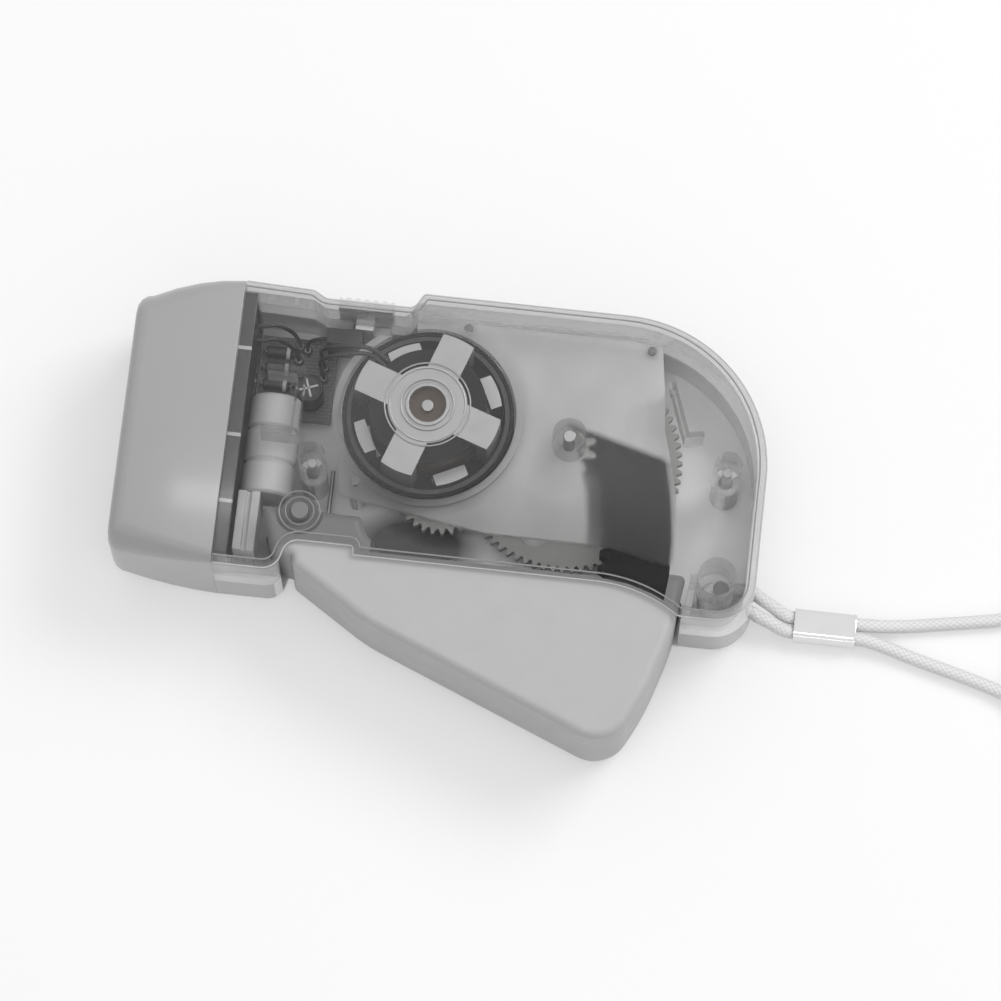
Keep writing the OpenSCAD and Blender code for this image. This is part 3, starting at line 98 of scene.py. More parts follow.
# Node helpers for materials
class Shader:
    """A material with an object-space texture coordinate and short ways to add nodes."""

    def __init__(self, name):
        self.material = bpy.data.materials.new(name)
        self.material.use_nodes = True
        self.tree = self.material.node_tree
        self.tree.nodes.clear()
        self.out = self.add("ShaderNodeOutputMaterial")
        self.place = self.add("ShaderNodeTexCoord").outputs["Object"]

    def add(self, kind, inputs=None, **settings):
        n = self.tree.nodes.new(kind)
        for k, v in settings.items():
            setattr(n, k, v)
        for k, v in (inputs or {}).items():
            self.put(n.inputs[k], v)
        return n

    def put(self, socket, value):
        if isinstance(value, bpy.types.NodeSocket):
            self.tree.links.new(value, socket)
        else:
            socket.default_value = value

    def axis(self, name, vector=None):
        n = self.add("ShaderNodeSeparateXYZ", {"Vector": vector or self.place})
        return n.outputs[name]

    def noise(self, scale, detail=3.0, rough=0.55, where=None):
        n = self.add("ShaderNodeTexNoise", {"Scale": scale, "Detail": detail, "Roughness": rough})
        self.put(n.inputs["Vector"], where or self.place)
        return n.outputs["Fac"]

    def span(self, value, low, high, start=0.3, end=0.7):
        n = self.add("ShaderNodeMapRange", {
            "Value": value, "From Min": start, "From Max": end, "To Min": low, "To Max": high})
        return n.outputs["Result"]

    def math(self, operation, *values):
        n = self.add("ShaderNodeMath", operation=operation)
        for socket, value in zip(n.inputs, values):
            self.put(socket, value)
        return n.outputs[0]

    def vector(self, operation, a, b=(0, 0, 0)):
        """Vector maths: a number for a length, distance or dot product, and else a vector."""
        n = self.add("ShaderNodeVectorMath", {0: a, 1: b}, operation=operation)
        return n.outputs["Value" if operation in ("LENGTH", "DISTANCE", "DOT_PRODUCT") else "Vector"]

    def normal(self):
        return self.add("ShaderNodeNewGeometry").outputs["Normal"]

    def ramp(self, value, *stops):
        n = self.add("ShaderNodeValToRGB", {"Fac": value})
        line = n.color_ramp
        while len(line.elements) < len(stops):
            line.elements.new(0.5)
        for e, (at, tone) in zip(line.elements, stops):
            e.position = at
            e.color = (*tone, 1)
        return n.outputs["Color"]

    def mix(self, factor, a, b):
        n = self.add("ShaderNodeMix", {"Factor": factor}, data_type="RGBA")
        colours = [i for i in n.inputs if i.type == "RGBA"]
        self.put(colours[0], a)
        self.put(colours[1], b)
        return [o for o in n.outputs if o.type == "RGBA"][0]

    def bump(self, height, strength, distance):
        n = self.add("ShaderNodeBump", {"Height": height, "Strength": strength, "Distance": distance})
        return n.outputs["Normal"]

    def stretched(self, x, y, z):
        n = self.add("ShaderNodeMapping", {"Vector": self.place, "Scale": (x, y, z)})
        return n.outputs["Vector"]

    def blend(self, factor, a, b):
        n = self.add("ShaderNodeMixShader", {"Fac": factor})
        self.put(n.inputs[1], a)
        self.put(n.inputs[2], b)
        return n.outputs[0]

    def principled(self, **inputs):
        names = {k.replace("_", " ").title().replace("Ior", "IOR"): v for k, v in inputs.items()}
        return self.add("ShaderNodeBsdfPrincipled", names).outputs["BSDF"]

    def done(self, shader):
        self.put(self.out.inputs["Surface"], shader)
        return self.material


def grey(x):
    return (x, x, x)


def shade(color, k):
    return tuple(min(1.0, c * k) for c in color)


def mottled(s, color, mottle, blotch, fine):
    """Colour that drifts a little over the surface, with darker specks."""
    big = s.noise(blotch, 4)
    tint = s.ramp(big, (0.25, shade(color, 1 - mottle)), (0.5, color), (0.75, shade(color, 1 + mottle)))
    return big, s.mix(s.span(fine, 0.0, 0.5), tint, (*shade(color, 1 - mottle * 1.5), 1))


BLOTCH_SCALE = 260
GRAIN_SCALE = 2600
GRAIN_DEPTH = 0.00003
HOLLOW_SHADE = 0.45
PIT_SHADE = 0.22
PIT_Z = (0.006, 0.014)
UPWARD = (0.3, 0.8)


def solid(name, color, rough, metallic=0.0, mottle=0.05, bump=0.12, specular=0.5, brushed=None, painted_shade_reach=None):
    """Moulded plastic, metal or rubber: mottled colour, uneven gloss and a fine surface grain.

    The last argument is a distance in metres, within which hollows get painted shade, as do floors low in
    the part that face up.
    """
    s = Shader(name)
    fine = s.noise(GRAIN_SCALE, 3, 0.6, s.stretched(*brushed) if brushed else s.place)
    big, tint = mottled(s, color, mottle, BLOTCH_SCALE, fine)
    # Painted shade: hollows, found by ambient occlusion, and upward floors low in the part are darkened in
    # the base colour.
    if painted_shade_reach:
        open_sky = s.add("ShaderNodeAmbientOcclusion", {"Distance": painted_shade_reach}).outputs["AO"]
        tint = s.mix(s.span(open_sky, 1.0, 0.0, 0.1, 0.5), tint, (*shade(color, HOLLOW_SHADE), 1))
        up = s.span(s.axis("Z", s.normal()), 0.0, 1.0, *UPWARD)
        pit = s.math("MULTIPLY", up, s.span(s.axis("Z"), 1.0, 0.0, *PIT_Z))
        tint = s.mix(pit, tint, (*shade(color, PIT_SHADE), 1))
    spread = min(0.08, rough * 0.35)
    return s.done(s.principled(
        base_color=tint, metallic=metallic, specular_ior_level=specular,
        roughness=s.span(big, rough - spread, rough + spread), normal=s.bump(fine, bump, GRAIN_DEPTH)))


# Zones: factors from 0 to 1 by place, which tint or cloud a material. Fades are pairs of metres
HEAD_FADE = (-0.022, 0.010)
ROTOR_FADE = (0.0145, 0.0175)
DEPTH_FADE = (0.0145, 0.0165)
TIP_FADE = (0.0125, 0.0135)
OUTWARD_FADE = (0.0, 0.004)
MIDDLE = (0.012, -0.006, 0.012)
# Painted shadow on the back shell's floor below the rotor: its centre, stretch and fade.
ROTOR_SHADOW_SPOT = (0.0, -0.0185, 0.0016)
ROTOR_SHADOW_STRETCH = (0.5, 1.0, 6.0)
ROTOR_SHADOW_FADE = (0.0035, 0.006)
STOP = Vector((42.2218, -1.0789, 0))
STOP_FOOT_TURN = 10
STOP_FOOT_L = 3.2
STOP_STEM_TURN = 110
STOP_STEM_L = 9.8
STOP_T = 0.9
STOP_SLACK = 0.05
STOP_TOP = 0.0222


def near_head(s):
    """1 in the front of the body, 0 from the generator's middle on."""
    return s.span(s.axis("X"), 1.0, 0.0, *HEAD_FADE)


def over_rotor(s):
    """1 in front of the generator, 0 further out."""
    away = s.vector("LENGTH", s.vector("MULTIPLY", s.place, (1, 1, 0)))
    return s.span(away, 1.0, 0.0, *ROTOR_FADE)


def bar(s, degrees, u, v):
    """1 on a bar that starts at the lever's stop: u along it and v across it, as pairs of mm."""
    a = math.radians(degrees)
    off = s.vector("SUBTRACT", s.place, tuple(STOP * MM))
    inside = 1.0
    for (lo, hi), way in ((u, (math.cos(a), math.sin(a), 0)), (v, (-math.sin(a), math.cos(a), 0))):
        along = s.vector("DOT_PRODUCT", off, way)
        within = s.math("COMPARE", along, (lo + hi) / 2 * MM, ((hi - lo) / 2 + STOP_SLACK) * MM)
        inside = s.math("MULTIPLY", inside, within)
    return inside


def on_stop(s):
    """1 on the L-shaped rib that stops the lever, which is textured, and 0 elsewhere."""
    both = s.math("MAXIMUM", bar(s, STOP_FOOT_TURN, (0, STOP_FOOT_L), (0, STOP_T)),
                  bar(s, STOP_STEM_TURN, (0, STOP_STEM_L), (-STOP_T, 0)))
    return s.math("MULTIPLY", both, s.math("LESS_THAN", s.axis("Z"), STOP_TOP))


def deep(s):
    """1 low in the body, 0 near its face."""
    return s.span(s.axis("Z"), 1.0, 0.0, *DEPTH_FADE)


def painted_tip_shade(s):
    """1 on the tips of the back shell's posts, which get painted shade, 0 below."""
    return s.span(s.axis("Z"), 0.0, 1.0, *TIP_FADE)


def outer_wall(s):
    """1 on the outside of the back shell, 0 on what faces up or into the body."""
    faces = s.normal()
    outward = s.vector("DOT_PRODUCT", faces, s.vector("SUBTRACT", s.place, MIDDLE))
    low = s.span(s.axis("Z", faces), 1.0, 0.0, *UPWARD)
    return s.math("MULTIPLY", low, s.span(outward, 0.0, 1.0, *OUTWARD_FADE))


def painted_rotor_shadow(s):
    """1 where a painted shadow darkens the floor between the generator and the slot, 0 further out and on
    the outside.
    """
    away = s.vector("LENGTH", s.vector("MULTIPLY", s.vector("SUBTRACT", s.place, ROTOR_SHADOW_SPOT), ROTOR_SHADOW_STRETCH))
    return s.span(away, 1.0, 0.0, *ROTOR_SHADOW_FADE)


# Materials
def head_plastic(name, color, rough):
    """Glossy head with a slight crown across its top, a band of painted shade behind its seam and three
    pale ticks on that band.
    """
    crown_y, crown_r = 0.005, 0.11
    ticks, tick_half = (0.0062, -0.0085, -0.0197), 0.0003
    seam_shade_tone, tick_tone = grey(0.05), grey(0.45)
    seam_shade_x = SEAM_X * MM + 0.00003
    grain_height = 0.0000004
    drift, drift_scale = 0.012, 120
    s = Shader(name)
    fine = s.noise(GRAIN_SCALE, 3, 0.6)
    big, tint = mottled(s, color, drift, drift_scale, fine)
    # Painted shade: behind the seam the colour turns near black, with three paler ticks.
    behind = s.math("GREATER_THAN", s.axis("X"), seam_shade_x)
    y = s.axis("Y")
    mark = 0.0
    for t in ticks:
        mark = s.math("ADD", s.math("COMPARE", y, t, tick_half), mark)
    seam_shade = s.mix(mark, (*seam_shade_tone, 1), (*tick_tone, 1))
    off = s.math("SUBTRACT", y, crown_y)
    crown = s.math("MULTIPLY", s.math("MULTIPLY", off, off), -0.5 / crown_r)
    height = s.math("ADD", crown, s.math("MULTIPLY", fine, grain_height))
    normal = s.bump(height, 1.0, 1.0)
    return s.done(s.principled(
        base_color=s.mix(behind, tint, seam_shade), coat_weight=0.4, coat_roughness=0.12, coat_normal=normal,
        roughness=s.span(big, rough - 0.02, rough + 0.02), normal=normal))


PLASTIC_IOR = 1.45
HAZE_SCALE = 70
SCRATCH_SCALE = 900
RIPPLE_SCALE = 420


def see_through(name, color, rough, face, edge, tint, haze=0.01, scratch=0.012, power=3.0, absorb=0.0,
                gloss=(0.35, 0.35), zones=(), veils=()):
    """Clear plastic: mostly transparent face on, cloudier and glossier towards its edges.

    face and edge are the cloud's share face on and at the edge, and gloss is the mirror's share there.
    zones are pairs of a factor by place and the tone of the cloud where it is 1, and veils are pairs of
    a factor by place and the share of cloud that is added where it is 1.
    """
    s = Shader(name)
    slant = s.math("POWER", s.add("ShaderNodeLayerWeight", {"Blend": 0.5}).outputs["Facing"], power)
    cloud = s.noise(HAZE_SCALE, 5, 0.6)
    lines = s.noise(SCRATCH_SCALE, 2, 0.5, s.stretched(0.15, 2.4, 1))
    cover = s.span(slant, face, edge, 0.0, 1.0)
    cover = s.math("ADD", cover, s.span(cloud, -haze, haze))
    cover = s.math("ADD", cover, s.span(lines, 0.0, scratch, 0.55, 0.75))
    for there, more in veils:
        cover = s.math("ADD", cover, s.math("MULTIPLY", there(s), more))
    tone = s.ramp(cloud, (0.3, shade(color, 0.94)), (0.7, color))
    for there, other in zones:
        tone = s.mix(there(s), tone, (*other, 1))
    plastic = s.principled(
        base_color=tone,
        roughness=s.span(cloud, rough * 0.7, rough * 1.3),
        normal=s.bump(s.noise(RIPPLE_SCALE, 2), 0.06, 0.00004))
    clear = s.add("ShaderNodeBsdfTransparent", {"Color": (*tint, 1)}).outputs[0]
    shine = s.add("ShaderNodeBsdfGlossy", {"Color": (1, 1, 1, 1), "Roughness": rough}).outputs[0]
    outside = s.math("SUBTRACT", 1.0, s.add("ShaderNodeNewGeometry").outputs["Backfacing"])
    fresnel = s.add("ShaderNodeFresnel", {"IOR": PLASTIC_IOR}).outputs[0]
    mirror = s.math("MULTIPLY", fresnel, s.span(slant, *gloss, 0.0, 1.0))
    if absorb:
        depth = s.add("ShaderNodeVolumeAbsorption", {"Color": (0, 0, 0, 1), "Density": absorb})
        s.put(s.out.inputs["Volume"], depth.outputs[0])
    return s.done(s.blend(s.math("MULTIPLY", mirror, outside), s.blend(cover, clear, plastic), shine))


# The plate's frosting is thinner over the rack at rest, towards the slot and round the pivot and rotor
RACK_SLOPE = 0.279
RACK_TOP_FADE = (0.0072, 0.0082)
RACK_INNER_FADE = (0.0486, 0.0496)
LOW_EDGE_FADE = (-0.019, -0.006)
LOW_EDGE_SHARE = 0.45
PIVOT_FADE = (0.022, 0.034)
PIVOT_SHARE = 0.25
COLLAR_SHARE = 0.6


def frosted_sheet(name, color, tint, rough, cover, straight):
    """Etched plastic: a thin cloud over light that is scattered, so that what lies deep is blurred.

    cover is the cloud's share on most of the sheet and over the rack at rest.
    """
    cloud_scale, etch_scale = 110, 3200
    s = Shader(name)
    cloud = s.noise(cloud_scale, 5, 0.6)
    fine = s.noise(etch_scale, 2, 0.6)
    matt = s.principled(
        base_color=s.ramp(cloud, (0.3, shade(color, 0.94)), (0.7, color)),
        roughness=s.span(cloud, 0.5, 0.62), normal=s.bump(fine, 0.1, 0.00002))
    blur = s.add("ShaderNodeBsdfRefraction", {
        "Color": (*tint, 1), "IOR": PLASTIC_IOR,
        "Roughness": s.span(cloud, rough - 0.04, rough + 0.04)}).outputs[0]
    clear = s.add("ShaderNodeBsdfTransparent", {"Color": (*tint, 1)}).outputs[0]
    upright = s.math("ABSOLUTE", s.axis("Z", s.normal()))
    straight = s.span(upright, 1.0, straight, 0.2, 0.6)
    away = s.vector("DISTANCE", s.place, tuple(PIVOT * MM))
    below_top = s.math("ADD", s.math("MULTIPLY", s.axis("X"), RACK_SLOPE), s.axis("Y"))
    over_rack = s.math("MULTIPLY", s.span(below_top, 1.0, 0.0, *RACK_TOP_FADE),
                       s.span(away, 0.0, 1.0, *RACK_INNER_FADE))
    cover = s.span(over_rack, *cover, 0.0, 1.0)
    for share in (s.span(s.axis("Y"), LOW_EDGE_SHARE, 1.0, *LOW_EDGE_FADE),
                  s.span(away, PIVOT_SHARE, 1.0, *PIVOT_FADE),
                  s.span(over_rotor(s), 1.0, COLLAR_SHARE, 0.0, 1.0),
                  s.span(cloud, 0.92, 1.08)):
        cover = s.math("MULTIPLY", cover, share)
    return s.done(s.blend(cover, s.blend(straight, blur, clear), matt))


LAMP_BOARD_OFF = 0.2


def circuit(name, lamp_color, color, track):
    """Boards with a fine net of tracks: the lamp's at the seam, the other behind it."""
    s = Shader(name)
    net = s.add("ShaderNodeTexBrick", {"Vector": s.place, "Scale": 420.0, "Mortar Size": 0.035})
    fine = s.noise(GRAIN_SCALE, 3, 0.6)
    big, tint = mottled(s, color, mottle=0.12, blotch=300, fine=fine)
    lamp = s.math("LESS_THAN", s.axis("X"), (BOARD_CORNER.x - LAMP_BOARD_OFF) * MM)
    tint = s.mix(lamp, tint, (*lamp_color, 1))
    lines = s.math("MULTIPLY", net.outputs["Fac"], s.span(s.noise(160, 2), 0.0, 0.8, 0.45, 0.55))
    return s.done(s.principled(
        base_color=s.mix(lines, tint, (*track, 1)), roughness=s.span(big, 0.3, 0.42),
        normal=s.bump(s.math("ADD", lines, s.math("MULTIPLY", fine, 0.2)), 0.3, 0.00003)))


def braid(name, color, around, along):
    """Braided cord: two families of strands that cross, drawn from the tube's own UV map, with painted
    shade in the grooves between them.
    """
    roundness, yarn_scale, yarn_height = 0.6, 5200, 0.35
    s = Shader(name)
    uv = s.add("ShaderNodeTexCoord").outputs["UV"]
    u = s.math("MULTIPLY", s.axis("X", uv), around * 2 * math.pi)
    v = s.math("MULTIPLY", s.axis("Y", uv), along * 2 * math.pi)
    one = s.math("SINE", s.math("ADD", u, v))
    two = s.math("SINE", s.math("SUBTRACT", u, v))
    height = s.math("POWER", s.math("ABSOLUTE", s.math("MULTIPLY", one, two)), roundness)
    yarn = s.noise(yarn_scale, 3, 0.6)
    relief = s.math("ADD", height, s.math("MULTIPLY", yarn, yarn_height))
    # Painted shade: the colour darkens where the relief is low, in the grooves between strands.
    return s.done(s.principled(
        base_color=s.ramp(relief, (0.05, shade(color, 0.62)), (0.45, shade(color, 0.9)), (1.0, color)),
        roughness=s.span(yarn, 0.62, 0.82), sheen_weight=0.2, sheen_roughness=0.4,
        normal=s.bump(relief, 0.5, 0.0001)))


BRUSHED = (0.3, 1, 1)
MATS = {
    "clear_shell": see_through("clear_shell", grey(0.56), rough=0.10, face=0.004, edge=0.7,
                               tint=grey(0.99), haze=0.002, scratch=0.004, power=1.3,
                               absorb=5, gloss=(0.06, 0.6),
                               zones=((deep, grey(0.8)), (on_stop, grey(0.7))),
                               veils=((near_head, 0.02), (over_rotor, 0.03), (on_stop, 0.4))),
    # Pale beads and rings that paint highlights on the front shell's edges; the dim ones paint softer
    # highlights.
    "bright_highlight_bead": solid("bright_highlight_bead", grey(0.46), 0.16, mottle=0.03, bump=0.05),
    "soft_highlight_bead": solid("soft_highlight_bead", grey(0.24), 0.3, mottle=0.03, bump=0.05),
    "smoke_shell": see_through("smoke_shell", grey(0.9), rough=0.16, face=0.93, edge=0.97,
                               tint=grey(0.9), haze=0.03,
                               # A painted shadow darkens the floor below the rotor.
                               zones=((near_head, grey(0.75)), (painted_rotor_shadow, grey(0.1)),
                                      # Painted shade darkens the tips of the back shell's posts.
                                      (outer_wall, grey(0.3)), (painted_tip_shade, grey(0.2)))),
    "head_grey": head_plastic("head_grey", grey(0.31), 0.3),
    # The lever's colour carries painted shade in its hollows and on its low floors.
    "lever_grey": solid("lever_grey", grey(0.39), 0.46, mottle=0.025, bump=0.16, painted_shade_reach=0.012),
    "lens_clear": see_through("lens_clear", grey(0.9), rough=0.04, face=0.04, edge=0.45,
                              tint=grey(0.975)),
    "reflector": solid("reflector", grey(0.82), 0.08, metallic=1.0, mottle=0.02, bump=0.04),
    "led_epoxy": see_through("led_epoxy", (0.86, 0.86, 0.82), rough=0.05, face=0.16, edge=0.6,
                             tint=grey(0.94)),
    "board_dark": circuit("board_dark", (0.018, 0.024, 0.021), (0.15, 0.155, 0.15), grey(0.08)),
    "part_dark": solid("part_dark", grey(0.03), 0.42, mottle=0.1),
    "battery": solid("battery", grey(0.54), 0.5, mottle=0.04, bump=0.1),
    "wire": solid("wire", grey(0.016), 0.4, mottle=0.1),
    "knob_pale": solid("knob_pale", grey(0.66), 0.5, mottle=0.03, bump=0.2),
    "black_plastic": solid("black_plastic", grey(0.010), 0.46, mottle=0.12, bump=0.18, specular=0.1),
    "magnet": solid("magnet", grey(0.05), 0.55, metallic=0.3, mottle=0.15, bump=0.3),
    "nylon": solid("nylon", (0.36, 0.36, 0.35), 0.5, mottle=0.03),
    "frosted": frosted_sheet("frosted", grey(0.8), tint=grey(1.0), rough=0.58, cover=(0.48, 0.06),
                             straight=0.02),
    "steel": solid("steel", grey(0.42), 0.42, metallic=1.0, brushed=BRUSHED),
    "dull_steel": solid("dull_steel", grey(0.2), 0.5, metallic=1.0, brushed=BRUSHED),
    "brass": solid("brass", (0.21, 0.208, 0.203), 0.4, metallic=0.6, mottle=0.12),
    "copper": solid("copper", (0.10, 0.075, 0.06), 0.4, metallic=0.6, mottle=0.15),
    "cord_white": braid("cord_white", grey(0.68), around=4, along=1),
    "tie": solid("tie", grey(0.05), 0.6, mottle=0.1),
    "ferrule": solid("ferrule", grey(0.72), 0.12, metallic=1.0, mottle=0.03, bump=0.04),
}


# CAD nodes: their own solids, with softened edges and the materials above
WELD_DISTANCE = 2e-6
SHARP = math.radians(32)
FLAT_WITHIN = math.radians(0.8)
EDGE_FROM = math.radians(38)
EDGE_SEGMENTS = 2


def smoothing_group():
    """Geometry nodes that weld a carried-over mesh and shade it smooth below a sharp angle."""
    g = bpy.data.node_groups.new("weld_and_smooth", "GeometryNodeTree")
    g.interface.new_socket("Geometry", in_out="INPUT", socket_type="NodeSocketGeometry")
    g.interface.new_socket("Geometry", in_out="OUTPUT", socket_type="NodeSocketGeometry")
    start = g.nodes.new("NodeGroupInput")
    end = g.nodes.new("NodeGroupOutput")
    weld = g.nodes.new("GeometryNodeMergeByDistance")
    weld.inputs["Distance"].default_value = WELD_DISTANCE
    faces = g.nodes.new("GeometryNodeSetShadeSmooth")
    faces.domain = "FACE"
    edges = g.nodes.new("GeometryNodeSetShadeSmooth")
    edges.domain = "EDGE"
    angle = g.nodes.new("GeometryNodeInputMeshEdgeAngle")
    less = g.nodes.new("FunctionNodeCompare")
    less.operation = "LESS_THAN"
    less.inputs["B"].default_value = SHARP
    g.links.new(start.outputs[0], weld.inputs[0])
    g.links.new(weld.outputs[0], faces.inputs["Geometry"])
    g.links.new(faces.outputs[0], edges.inputs["Geometry"])
    g.links.new(angle.outputs["Unsigned Angle"], less.inputs["A"])
    g.links.new(less.outputs[0], edges.inputs["Shade Smooth"])
    g.links.new(edges.outputs[0], end.inputs[0])
    return g


WELD = smoothing_group()


def soften(obj, width):
    """Welds a CAD node's mesh, rounds its sharp edges and shades it smooth."""
    weld = obj.modifiers.new("weld", "WELD")
    weld.merge_threshold = WELD_DISTANCE
    if width > 0:
        flat = obj.modifiers.new("flat", "DECIMATE")
        flat.decimate_type = "DISSOLVE"
        flat.angle_limit = FLAT_WITHIN
        edge = obj.modifiers.new("edge", "BEVEL")
        edge.width = width * MM
        edge.segments = EDGE_SEGMENTS
        edge.limit_method = "ANGLE"
        edge.angle_limit = EDGE_FROM
        edge.use_clamp_overlap = True
    smooth = obj.modifiers.new("smooth", "NODES")
    smooth.node_group = WELD
    normals = obj.modifiers.new("normals", "WEIGHTED_NORMAL")
    normals.keep_sharp = True


EDGE_WIDTH = {
    "front_shell": 0.12, "back_shell": 0.12, "head_bezel": 0.15, "lever": 0.2, "switch_knob": 0.15,
    "sector_rack": 0.1, "gear_plate": 0.15, "upper_pole_plate": 0.15, "lower_pole_plate": 0.15,
    "rotor_cup": 0.15, "stator_core": 0.12, "drive_axle": 0.2, "lever_pivot_pin": 0.25,
    "rotor_shaft": 0.2, "battery_pack": 0.15, "led_board": 0.05, "circuit_board": 0.05,
    "switch_body": 0.1, "lens": 0.15, "strap_tie": 0.12, "shell_screws": 0.08, "rack_screws": 0.1,
    "clutch_pawls": 0.08, "idler_axle": 0.15, "front_bush": 0.1, "back_bush": 0.1,
    "coil_bobbin": 0.1, "ring_magnet": 0.1,
}
FINISH = {"lever_pivot_pin": "dull_steel"}
for name, obj in nodes.items():
    obj.data.materials.clear()
    obj.data.materials.append(MATS[FINISH.get(name, slot_of[name])])
    soften(obj, EDGE_WIDTH.get(name, 0))


# Mesh helpers for the pieces made here. A shape is its vertices, faces and, for a cord, UVs
def piece(name, shape, slot, replaces=(), finish=None):
    """Object of a shape, riding on the body; finish is a material other than the slot's own."""
    verts, faces = shape[0], shape[1]
    mesh = bpy.data.meshes.new(name)
    mesh.from_pydata([tuple(v) for v in verts], [], faces)
    for p in mesh.polygons:
        p.use_smooth = True
    if len(shape) > 2:
        layer = mesh.uv_layers.new(name="UVMap")
        for loop, uv in zip(layer.data, [c for f in shape[2] for c in f]):
            loop.uv = uv
    mesh.materials.append(MATS[finish or slot])
    obj = bpy.data.objects.new(name, mesh)
    scene.collection.objects.link(obj)
    normals = obj.modifiers.new("smooth", "NODES")
    normals.node_group = WELD
    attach(obj, "body")
    if replaces:
        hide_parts(*replaces)
    return obj


def rounded(points, parts):
    """Catmull-Rom curve through points in millimetres, with that many parts between neighbours."""
    pts = [Vector(p) * MM for p in points]
    pts = [2 * pts[0] - pts[1]] + pts + [2 * pts[-1] - pts[-2]]
    out = []
    for a, b, c, d in zip(pts, pts[1:], pts[2:], pts[3:]):
        for k in range(parts):
            t = k / parts
            out.append(0.5 * (2 * b + (c - a) * t + (2 * a - 5 * b + 4 * c - d) * t ** 2
                              + (3 * b - a - 3 * c + d) * t ** 3))
    return out + [pts[-2]]


def walls(rows, sides):
    """Faces between neighbouring rows of points, and the two ends."""
    faces = []
    for i in range(rows - 1):
        for k in range(sides):
            a = i * sides + k
            b = i * sides + (k + 1) % sides
            faces.append((a, b, b + sides, a + sides))
    last = (rows - 1) * sides
    faces.append(tuple(range(sides - 1, -1, -1)))
    faces.append(tuple(last + k for k in range(sides)))
    return faces


def wrapped(rows, sides):
    """Faces between neighbouring rows of points, with the last row joined to the first."""
    return [(i * sides + k, (i + 1) % rows * sides + k,
             (i + 1) % rows * sides + (k + 1) % sides, i * sides + (k + 1) % sides)
            for i in range(rows) for k in range(sides)]


def tube(path, radius, sides, pitch=None):
    """Closed tube along a path in metres, with a frame that doesn't twist; pitch adds UVs for a braid."""
    verts = []
    runs = [0.0]
    side = (path[1] - path[0]).orthogonal()
    for i, p in enumerate(path):
        d = (path[min(i + 1, len(path) - 1)] - path[max(i - 1, 0)]).normalized()
        side = (side - d * side.dot(d)).normalized()
        up = d.cross(side)
        if i:
            runs.append(runs[-1] + (p - path[i - 1]).length)
        for k in range(sides):
            a = 2 * math.pi * k / sides
            verts.append(p + radius * MM * (math.cos(a) * side + math.sin(a) * up))
    faces = walls(len(path), sides)
    if not pitch:
        return verts, faces
    uvs = []
    for v0, v1 in zip(runs, runs[1:]):
        for k in range(sides):
            u0, u1 = k / sides, (k + 1) / sides
            uvs.append([(u0, v0 / pitch), (u1, v0 / pitch), (u1, v1 / pitch), (u0, v1 / pitch)])
    return verts, faces, uvs + [[(0, 0)] * sides] * 2


def lathe(profile, centre, axis, sides=32):
    """Surface of revolution: the profile is (radius, distance along the axis), in millimetres."""
    axis = Vector(axis).normalized()
    u = axis.orthogonal().normalized()
    w = axis.cross(u)
    verts = []
    for r, h in profile:
        for k in range(sides):
            a = 2 * math.pi * k / sides
            verts.append(MM * (Vector(centre) + h * axis
                               + max(r, 0.0001) * (math.cos(a) * u + math.sin(a) * w)))
    return verts, walls(len(profile), sides)


def joined(shapes):
    """Several shapes as one."""
    verts, faces = [], []
    for v, f in shapes:
        n = len(verts)
        verts += list(v)
        faces += [tuple(i + n for i in face) for face in f]
    return verts, faces


def arc(centre, r, start, end, steps):
    """Profile points on an arc, with angles in degrees."""
    angles = [math.radians(start + (end - start) * k / steps) for k in range(steps + 1)]
    return [(centre[0] + r * math.cos(a), centre[1] + r * math.sin(a)) for a in angles]


# Wrist cord: the route's points repeat the solid's, in millimetres
CORD_D = 2.2
CORD_SIDES = 20
BRAID_PITCH = 0.0022
UPPER = [
    (57.2, -22, 4.6), (59.6, -23.2, 4.1), (61.4, -24, 2.9), (63.4, -24.3, 2.3), (68.5, -24.3, 2.3),
    (73.6, -24.3, 2.3), (76, -24.2, 2.2), (79, -23.9, 1.7), (83, -23.3, 1.3), (88, -22.4, 1.3),
    (93, -21.5, 1.3), (97, -20.7, 1.3), (101, -19.2, 1.3), (105, -17.2, 1.4), (109, -15.1, 1.5),
    (112.5, -14, 1.6), (115, -13.8, 1.6),
]
LOWER = [
    (57.2, -25.2, 4.6), (59.6, -26, 4.1), (61.4, -26.5, 2.9), (63.4, -26.7, 2.3), (68.5, -26.7, 2.3),
    (73.6, -26.7, 2.3), (76, -26.9, 2.2), (79, -27.5, 1.7), (83, -28.6, 1.3), (88, -29.9, 1.3),
    (93, -31.2, 1.3), (98, -32.7, 1.3), (102, -34.6, 2), (105.5, -36.7, 3.2), (109, -38.7, 4),
    (112.5, -39.9, 4.3), (115, -40.2, 4.3),
]
COIL_CENTRE = (115, -27)
COIL_R = 13.2
COIL_STEP = 2.7
COIL_TURNS = 1.25
COIL_Z = 1.6
COIL_RINGS = 24


def coil_point(k):
    """Point of the coil, which winds inwards and comes back out on top of itself."""
    turns = k / COIL_RINGS
    inwards = min(turns, 2 * COIL_TURNS - turns)
    rise = min(max((turns - COIL_TURNS) * 2 + 0.5, 0), 1)
    r = COIL_R - COIL_STEP * inwards
    a = math.radians(90 - 360 * turns)
    z = COIL_Z + COIL_STEP * rise * rise * (3 - 2 * rise)
    return (COIL_CENTRE[0] + r * math.cos(a), COIL_CENTRE[1] + r * math.sin(a), z)


coil = [coil_point(k) for k in range(1, int(2 * COIL_TURNS * COIL_RINGS))]
cord_path = rounded(UPPER + coil + LOWER[::-1], 6)
strap = piece("strap_loop", tube(cord_path, CORD_D / 2, CORD_SIDES, BRAID_PITCH), "cord_white",
              replaces=("strap_cord", "strap_coil"))

